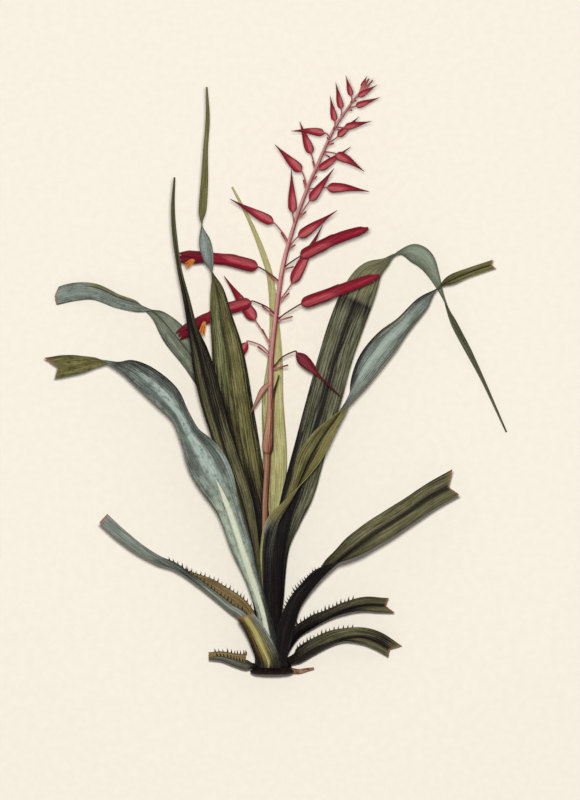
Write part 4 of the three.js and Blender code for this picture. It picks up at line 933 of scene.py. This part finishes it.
def profile(values, share):
    last = len(values) - 1
    at = np.clip(np.ravel(share) * last, 0, last)
    return spline([(value,) for value in values], at)[:, 0].reshape(np.shape(share))


def bloom_axis(bloom):
    _, base, tip = bloom[:3]
    middle = (np.array(base, float) + tip) / 2
    if len(bloom) > 5:
        middle[1] += bloom[5] * 0.5
    return np.array([base, middle, tip], float)


def seams(angle, share, twist=BUD_TWIST):
    """Place within one overlapping sepal, from 0 at its outer edge to 1."""
    return np.mod(SEPALS * angle / TURN + twist * share, 1)


def dome(share, reach):
    """Rounds off the base of a bloom over a share of its length."""
    t = np.clip(share / reach, 0, 1)
    return np.sqrt(np.maximum(1 - (1 - t) ** 2, 0.06))


def add_bud(body, bloom, part=BUD, values=BUD_PROFILE):
    def radius_at(share, angle):
        lap = 1 + 0.07 * (1 - seams(angle, share)) * smooth(share, 0.0, 0.15)
        furrow = 1 - 0.05 * np.cos(SEPALS * angle + TURN * BUD_TWIST * share)
        return bloom[3] / 2 * profile(values, share) * dome(share, BUD_DOME) * lap * furrow * 0.97
    add_tube(body, bloom_axis(bloom), radius_at, 36, 0.55, part, seams)


def add_calyx(body, axis, width, reach, lobe):
    """An open cup with three pointed lobes round the base of a flower, with an outer and an inner face."""
    angle = np.arange(CALYX_SIDES) / CALYX_SIDES * TURN
    tips = np.abs(np.mod(SEPALS * angle / TURN + 0.5, 1) - 0.5) * 2
    top = reach + lobe * (1 - tips ** 0.8 * 2)
    heights = np.concatenate([np.linspace(0, 1, CALYX_RINGS), np.linspace(1, 0.08, INNER_RINGS)])
    rings = []
    for k, height in enumerate(heights):
        share = height * top
        u = share * (len(axis) - 1)
        along = tangents(axis, u)
        side = unit(np.cross(UP, along))
        radius = width / 2 * profile(FLOWER_PROFILE, share) * dome(share, FLOWER_DOME)
        radius = radius + (0.05 if k < CALYX_RINGS else -CALYX_WALL)
        radius = np.maximum(radius + 0.5 * smooth(height, 0.8, 1.0) * 0.5, 0.2)
        x, y = radius * np.cos(angle), radius * np.sin(angle)
        ring = spline(axis, u) + side * x[:, None] + np.cross(along, side) * y[:, None]
        rings.append((ring, share, radius))
    verts, share, radius = (np.concatenate(column) for column in zip(*rings))
    place = (share, np.tile(angle, len(rings)), share * width * 6)
    tone = (np.tile(tips, len(rings)), CALYX, radius)
    body.add(verts, grid_faces(len(rings), CALYX_SIDES), place=place, tone=tone)


def add_closed_flower(body, bloom):
    axis, width = bloom_axis(bloom), bloom[3]

    def radius_at(share, angle):
        lap = 1 + 0.06 * (1 - seams(angle, share, FLOWER_TWIST))
        nick = 1 - 0.75 * smooth(share, 0.9, 1.0) * (0.5 + 0.5 * np.cos(SEPALS * angle))
        radius = width / 2 * TUBE_SLIMNESS * profile(FLOWER_PROFILE, share)
        return radius * dome(share, FLOWER_DOME) * lap * nick
    add_tube(body, axis, radius_at, 48, 0.8, PETAL, lambda angle, share: seams(angle, share, FLOWER_TWIST))
    add_calyx(body, axis, width * 0.98, 0.4, 0.11)


def roll_towards(along, facing):
    level = unit(UP - along * along[2])
    sideways = np.cross(along, level)
    return math.degrees(math.atan2(np.dot(facing, sideways), np.dot(facing, level)))


def add_petal(body, axis, width, angle):
    rows = []
    radius = width / 2
    for share, offset, wide in PETAL_STATIONS:
        u = np.array([share * 2.0])
        along = tangents(axis, u)[0]
        side = unit(np.cross(UP, along))
        radial = side * math.cos(angle) + np.cross(along, side) * math.sin(angle)
        roll = roll_towards(along, -radial)
        if rows:
            roll += 360 * round((rows[-1][4] - roll) / 360)
        point = spline(axis, u)[0] + radial * offset * radius
        rows.append((*point, wide * radius, roll, PETAL_CURL * (1 - 0.5 * share), 0))
    verts, faces, facts = blade_shell(rows, 1.2, 12, 0.5, 0.3, wave=(0.15, 9, angle))
    share = facts["u"] / (len(rows) - 1)
    place = (0.6 + 0.4 * share, facts["s"], facts["length"])
    body.add(verts, faces, place=place, tone=(1 - np.abs(facts["s"]), PETAL, radius))


def add_thread(body, rows, radius, part, tip=1.0):
    def radius_at(share, angle):
        return (radius * (1 + (tip - 1) * share)) * np.ones_like(angle)
    add_tube(body, rows, radius_at, 8, 0.7, part)


def add_open_flower(body, bloom):
    """A tube, three petals and five stamens that hang from between them."""
    axis, width = bloom_axis(bloom), bloom[3]
    petal_turn, root, fall = bloom[6], bloom[7], np.array(bloom[8])
    middle, far, start = spline(axis, np.array([TUBE_SHARE, 2 * TUBE_SHARE, root]))

    def radius_at(share, angle):
        lap = 1 + 0.06 * (1 - seams(angle, share, TUBE_TWIST))
        return width / 2 * TUBE_SLIMNESS * profile(TUBE_PROFILE, share) * dome(share, TUBE_DOME) * lap

    def seam_at(angle, share):
        return seams(angle, share * TUBE_SHARE, TUBE_TWIST)
    add_tube(body, [axis[0], middle, far], radius_at, 40, 0.8, PETAL, seam_at)
    add_calyx(body, axis, width * 0.98, 0.42, 0.12)
    for k in range(3):
        add_petal(body, axis, width, TURN * (k + petal_turn) / 3)
    beside = unit(np.cross(UP, fall))
    for k in range(STAMENS):
        spread = (k - 2) * STAMEN_SPACING
        lift = UP * width * (0.5 + 0.05 * (k % 2))
        bend = start + fall * 0.25 + beside * spread * 0.6 + lift
        end = start + fall * (0.62 + 0.06 * ((k * 2) % 5)) + beside * spread + lift
        add_thread(body, [start, bend, (bend + end) / 2, end], FILAMENT_RADIUS, FILAMENT)
        heading = unit(end - bend)
        anther = [end - heading * 4.2, end - heading * 1.2, end + heading * 2.0]
        add_thread(body, anther, ANTHER_RADIUS, ANTHER + 0.5 * (k % 2), 0.6)


def stalk_rows(bloom):
    axis = bloom_axis(bloom)
    stem = np.array(bloom[4], float)
    heading = unit(axis[1] - axis[0])
    end = axis[0] - heading * 0.1
    knee = end - heading * 1.6
    middle = (stem + knee) / 2 - heading * np.linalg.norm(stem - knee) * 0.1
    return [stem, middle, knee, end]


def add_small_bract(body, bloom, share):
    stem = np.array(bloom[4], float)
    out = bloom[1] - stem
    reach = 0.5 * np.linalg.norm(out) + BRACT_LENGTH * (1 - share)
    lean = -BRACT_TURN if out[0] > 0 else BRACT_TURN
    heading = unit(unit(out) + np.array([0, lean, 0.12]))
    root = stem + np.array([-0.3, -1.4, 0])
    rows = []
    for k, wide in enumerate(BRACT_WIDTHS):
        point = root + heading * reach * k / 4 + UP * 0.25 * math.sin(k * 0.8)
        rows.append((*point, wide, 0, 90, 0))
    verts, faces, facts = blade_shell(rows, 1.0, 8, 0.4, 0.3)
    body.add(verts, faces, place=(facts["u"] / 4, facts["s"], facts["length"]), tone=(0.5, SMALL_BRACT, 1))


def make_scape():
    body = Body("place", "tone")
    axis = np.array(SCAPE_AXIS, float)

    def axis_radius(share, angle):
        radius = spline(axis, share.ravel() * (len(axis) - 1))[:, 3].reshape(share.shape)
        return radius * (1 + 0.05 * np.cos(5 * angle) + 0.02 * np.cos(11 * angle + 3 * share))

    def stalk_radius(share, angle):
        swell = 0.5 + 0.25 * smooth(share, 0.78, 1.0) + 0.3 * (1 - smooth(share, 0.0, 0.15))
        return swell * np.ones_like(angle)
    add_tube(body, axis, axis_radius, 40, 1.6, AXIS)
    for bloom in BUDS + CLOSED_FLOWERS + OPEN_FLOWERS + [FADED_FLOWER]:
        sturdy = 0.0 if bloom in BUDS else 1.0
        add_tube(body, stalk_rows(bloom), stalk_radius, 14, 0.7, STALK, lambda angle, share: sturdy)
        add_small_bract(body, bloom, bloom[4][1] / axis[-1][1])
    parts = [LEAFY_BRACT] * len(STEM_BRACTS) + [SMALL_BRACT] * len(TIP_BRACTS)
    for rows, part in zip(STEM_BRACTS + TIP_BRACTS, parts):
        verts, faces, facts = blade_shell(rows, 1.0, 14, 0.5, 0.35)
        place = (facts["u"] / (len(rows) - 1), facts["s"], facts["length"])
        body.add(verts, faces, place=place, tone=(float(rows[0][0] > 0), part, 1))
    body.piece("scape", scape_material(), "scape")


def bloom_material(name, light, deep, calyx_light, calyx_deep, highlight_strength):
    """Crimson with a painted highlight along the upward-facing middle of the lower part, painted shade down
    both sides, dark seams and tips, and orange stamens.
    """
    m = Shader(name)
    share, angle, length = m.attribute("place")
    seam, part, _ = m.attribute("tone")
    place = m.around(angle, length, 3.0, 0.06)
    streak = m.span(m.noise(place, 2.2, 4.0, 0.65), 0.36, 0.68)
    blotch = m.span(m.noise(place, 0.6, 3.0), 0.35, 0.65)
    edge = m.span(m.size(m.math("SUBTRACT", seam, 0.5)), 0.3, 0.5)
    # Painted shade: darker down both sides of the bloom.
    painted_side_shade = m.span(m.size(m.math("COSINE", angle)), 0.45, 1.0)
    shine = m.span(m.math("SINE", m.plus(angle, -0.35)), 0.72, 1.0)
    petals = m.mix(m.times(streak, 0.6), light, deep)
    petals = m.mix(m.times(edge, 0.65), petals, deep)
    calyx = m.mix(m.times(streak, 0.55), calyx_light, calyx_deep)
    calyx = m.mix(m.times(edge, 0.75), calyx, calyx_deep)
    calyx = m.mix(m.span(share, 0.4, 0.8, 0.0, 0.8), calyx, calyx_deep)
    calyx = m.mix(m.times(blotch, 0.25), calyx, calyx_light)
    colour = m.mix(m.from_part(part, PETAL), calyx, petals)
    # Painted highlight: paler along the upward-facing middle of the lower part.
    painted_highlight = m.times(shine, m.span(share, 0.55, 0.3, 0.0, 0.75))
    colour = m.mix(m.times(painted_highlight, m.span(streak, 0, 1, highlight_strength, highlight_strength * 0.4)), colour, rgb(214, 122, 122))
    colour = m.mix(m.times(painted_side_shade, 0.7), colour, rgb(80, 8, 26))
    colour = m.mix(m.from_part(part, FILAMENT), colour, rgb(226, 168, 92))
    colour = m.mix(m.from_part(part, ANTHER), colour, rgb(230, 146, 44))
    colour = m.mix(m.span(part, ANTHER + 0.2, ANTHER + 0.4), colour, rgb(206, 92, 34))
    relief = m.plus(streak, m.times(edge, -1.0))
    return m.finish(colour, m.span(streak, 0, 1, 0.42, 0.55), m.bump(relief, 0.00012, 0.7))


RING_PLACE = 5.2 / 19


def scape_material():
    """Salmon pink, brick and olive towards the base, with long fine ridges, a painted highlight down one
    side and painted shadow along both edges, deepest on the other side; bracts paler with dark tips.
    """
    m = Shader("skin_scape")
    share, angle, length = m.attribute("place")
    seam, part, _ = m.attribute("tone")
    place = m.around(angle, length, 3.5, 0.02)
    ridge = m.span(m.noise(place, 2.6, 3.0, 0.6), 0.38, 0.64)
    blotch = m.span(m.noise(place, 0.8, 3.0), 0.35, 0.68)
    left = m.math("COSINE", angle)
    upward = m.span(share, 0.42, 0.62)
    low = m.mix(ridge, rgb(200, 146, 112), rgb(112, 60, 42))
    high = m.mix(ridge, rgb(226, 156, 152), rgb(158, 68, 76))
    axis = m.mix(upward, low, high)
    axis = m.mix(m.span(share, 0.34, 0.42), m.mix(0.35, low, rgb(120, 62, 44)), axis)
    axis = m.mix(m.span(share, 0.0, 0.16), rgb(70, 40, 30), axis)
    # Painted highlight down one side of the stem.
    painted_shine = m.mix(upward, rgb(222, 172, 140), rgb(244, 198, 190))
    axis = m.mix(m.span(left, -0.1, 0.7, 0.0, 0.6), axis, painted_shine)
    # Painted shadow along both edges, deepest on the side away from the highlight.
    shadow = m.mix(upward, rgb(74, 38, 34), rgb(128, 40, 52))
    axis = m.mix(m.span(m.plus(left, m.times(ridge, -0.5)), -0.2, -0.8, 0.0, 0.95), axis, shadow)
    axis = m.mix(m.span(left, 0.86, 1.0, 0.0, 0.6), axis, shadow)
    ring_start = m.span(share, RING_PLACE - 0.012, RING_PLACE)
    ring = m.times(ring_start, m.span(share, RING_PLACE + 0.02, RING_PLACE))
    axis = m.mix(m.times(ring, 0.6), axis, rgb(70, 34, 30))
    stalk = m.mix(ridge, rgb(220, 140, 138), rgb(172, 84, 90))
    sturdy = m.mix(ridge, rgb(134, 76, 68), rgb(62, 32, 32))
    stalk = m.mix(m.span(seam, 0.6, 0.9), stalk, sturdy)
    small = m.mix(m.span(share, 0.0, 0.9), rgb(220, 142, 136), rgb(150, 58, 62))
    leafy = m.mix(ridge, rgb(206, 158, 136), rgb(162, 104, 92))
    leafy = m.mix(m.span(m.size(angle), 0.55, 1.0, 0.0, 0.8), leafy, rgb(96, 56, 50))
    olive = m.mix(m.span(share, 0.1, 0.6), rgb(128, 80, 58), rgb(58, 50, 30))
    leafy = m.mix(m.span(seam, 0.4, 0.6), leafy, olive)
    leafy = m.mix(m.span(share, 0.6, 1.0, 0.0, 0.75), leafy, rgb(70, 46, 36))
    colour = m.mix(m.from_part(part, STALK), axis, stalk)
    colour = m.mix(m.from_part(part, LEAFY_BRACT), colour, leafy)
    colour = m.mix(m.from_part(part, AXIS), small, colour)
    return m.finish(colour, m.span(blotch, 0, 1, 0.5, 0.62), m.bump(ridge, 0.00018, 0.8))


# Crown

def crown_material():
    m = Shader("skin_crown")
    share, angle, length = m.attribute("place")
    place = m.node("ShaderNodeTexCoord").outputs["Object"]
    fibre = m.noise(m.vector(m.times(angle, 7), m.times(length, 0.12), 0.0), 1.0, 5.0, 0.7)
    rough = m.noise(place, 260.0, 5.0, 0.65)
    dark = m.mix(m.span(fibre, 0.35, 0.65), rgb(44, 28, 24), rgb(14, 10, 10))
    colour = m.mix(m.span(rough, 0.56, 0.8), dark, rgb(84, 56, 44))
    root = m.mix(m.span(rough, 0.4, 0.6), rgb(176, 138, 108), rgb(112, 74, 54))
    colour = m.mix(m.span(share, 1.2, 1.8), colour, root)
    return m.finish(colour, 0.86, m.bump(m.plus(fibre, rough), 0.0006, 0.9))


def make_crown():
    """The stock: a rough short drum with a low flat spot that it rests on, old scales, and a root scrap."""
    body = Body("place")
    rng = np.random.default_rng(11)
    angle = np.arange(CROWN_SIDES) / CROWN_SIDES * TURN
    waves = sum(rng.uniform(0.2, 1) * np.cos(k * angle + rng.uniform(0, 6)) / k for k in CROWN_WAVES)
    verts = []
    for k, (y, radius) in enumerate(CROWN_RINGS):
        ripple = 0.45 * waves * (0.6 if k in (3, 4) else 1) + rng.uniform(-0.18, 0.18, CROWN_SIDES)
        r = radius + np.minimum(ripple, CROWN_RADIUS - 0.1 - radius)
        z = np.maximum(CROWN_AXIS_HEIGHT + r * np.sin(angle), 0.0)
        verts.append(np.stack([r * np.cos(angle), y + 0.2 * waves, z], axis=1)[::-1])
    rings = len(CROWN_RINGS)
    place = (0, np.tile(angle[::-1], rings), np.repeat(np.arange(rings) * 3.0, CROWN_SIDES))
    body.add(np.vstack(verts), grid_faces(rings, CROWN_SIDES), place=place)

    def root_radius(share, angle):
        return (2.1 - 1.15 * share) * (1 + 0.12 * np.cos(3 * angle + 9 * share) + 0.08 * np.cos(7 * angle))
    verts, faces, facts = tube_shell(ROOT_AXIS, root_radius, 20, 0.8)
    body.add(verts, faces, place=(2, facts["angle"], facts["length"]))
    body.piece("crown", crown_material(), "crown")


# The plant

make_crown()
for leaf_name, leaf_facts in LEAVES.items():
    make_leaf(leaf_name, leaf_facts)
make_scape()

BUD_SKIN = bloom_material(
    "skin_bud", rgb(172, 40, 56), rgb(100, 10, 28), rgb(170, 42, 58), rgb(94, 8, 26), 1.0)
FLOWER_SKIN = bloom_material(
    "skin_flower", rgb(156, 30, 50), rgb(92, 8, 28), rgb(164, 38, 54), rgb(96, 10, 30), 0.5)
FADED_SKIN = bloom_material(
    "skin_faded", rgb(84, 40, 36), rgb(48, 24, 24), rgb(124, 34, 48), rgb(50, 10, 22), 0.2)


def add_faded_flower(body, bloom):
    add_bud(body, bloom, CALYX, FADED_PROFILE)


for blooms, add_bloom, skin, slot in (
    (BUDS, add_bud, BUD_SKIN, "bud"),
    (CLOSED_FLOWERS, add_closed_flower, FLOWER_SKIN, "petal"),
    (OPEN_FLOWERS, add_open_flower, FLOWER_SKIN, "petal"),
    ([FADED_FLOWER], add_faded_flower, FADED_SKIN, "faded_petal"),
):
    for bloom in blooms:
        shell = Body("place", "tone")
        add_bloom(shell, bloom)
        shell.piece(bloom[0], skin, slot)


# Floor, light and camera

# The picture's frame in pixels, the pixel at the crown's middle, and the size of a pixel in millimetres.
PIXEL = 0.7
FRAME_WIDTH_PX, FRAME_HEIGHT_PX = 580, 800
ORIGIN_X_PX, ORIGIN_Y_PX = 272, 668
LENS = 600
SENSOR = 36
CLIP_END = 50
# Metres from here on.
MIDDLE_X = (FRAME_WIDTH_PX / 2 - ORIGIN_X_PX) * PIXEL * MM
MIDDLE_Y = (ORIGIN_Y_PX - FRAME_HEIGHT_PX / 2) * PIXEL * MM
FRAME_HEIGHT = FRAME_HEIGHT_PX * PIXEL * MM
LEVEL = 0.025
FLOOR_REACH = 6.0
FLOOR_DROP = 0.0002
KEY_PLACE = (0, 0.36, 3.2)
KEY_TARGET = (0, 0.2, 0)
KEY_SIZE = 0.22
KEY_WATTS = 82
WORLD_STRENGTH = 0.21


def make_floor():
    mesh = bpy.data.meshes.new("floor")
    corners = [(x * FLOOR_REACH, y * FLOOR_REACH, 0) for x, y in ((-1, -1), (1, -1), (1, 1), (-1, 1))]
    mesh.from_pydata(corners, [], [(0, 1, 2, 3)])
    floor = bpy.data.objects.new("floor", mesh)
    floor.location.z = -FLOOR_DROP
    bpy.context.scene.collection.objects.link(floor)
    m = Shader("paper_floor")
    grain = m.noise(m.node("ShaderNodeTexCoord").outputs["Object"], 180.0, 4.0, 0.6)
    m.finish(m.mix(m.span(grain, 0.3, 0.7), rgb(249, 242, 228), rgb(246, 238, 223)), 0.95, None, 0.0)
    mesh.materials.append(m.material)


def make_light():
    data = bpy.data.lights.new("key", "AREA")
    data.shape = "DISK"
    data.size = KEY_SIZE
    data.energy = KEY_WATTS
    light = bpy.data.objects.new("key", data)
    light.location = KEY_PLACE
    light.rotation_mode = "QUATERNION"
    light.rotation_quaternion = (Vector(KEY_TARGET) - Vector(KEY_PLACE)).to_track_quat("-Z", "Y")
    bpy.context.scene.collection.objects.link(light)
    world = bpy.data.worlds.new("studio")
    bpy.context.scene.world = world
    world.use_nodes = True
    background = world.node_tree.nodes["Background"]
    background.inputs["Color"].default_value = (1, 1, 1, 1)
    background.inputs["Strength"].default_value = WORLD_STRENGTH
    bpy.context.scene.view_settings.view_transform = "Standard"


def make_camera():
    data = bpy.data.cameras.new("camera")
    data.sensor_fit = "AUTO"
    data.sensor_width = SENSOR
    data.lens = LENS
    data.clip_end = CLIP_END
    camera = bpy.data.objects.new("camera", data)
    camera.location = (MIDDLE_X, MIDDLE_Y, LEVEL + FRAME_HEIGHT * LENS / SENSOR)
    bpy.context.scene.collection.objects.link(camera)
    bpy.context.scene.camera = camera


make_floor()
make_light()
make_camera()
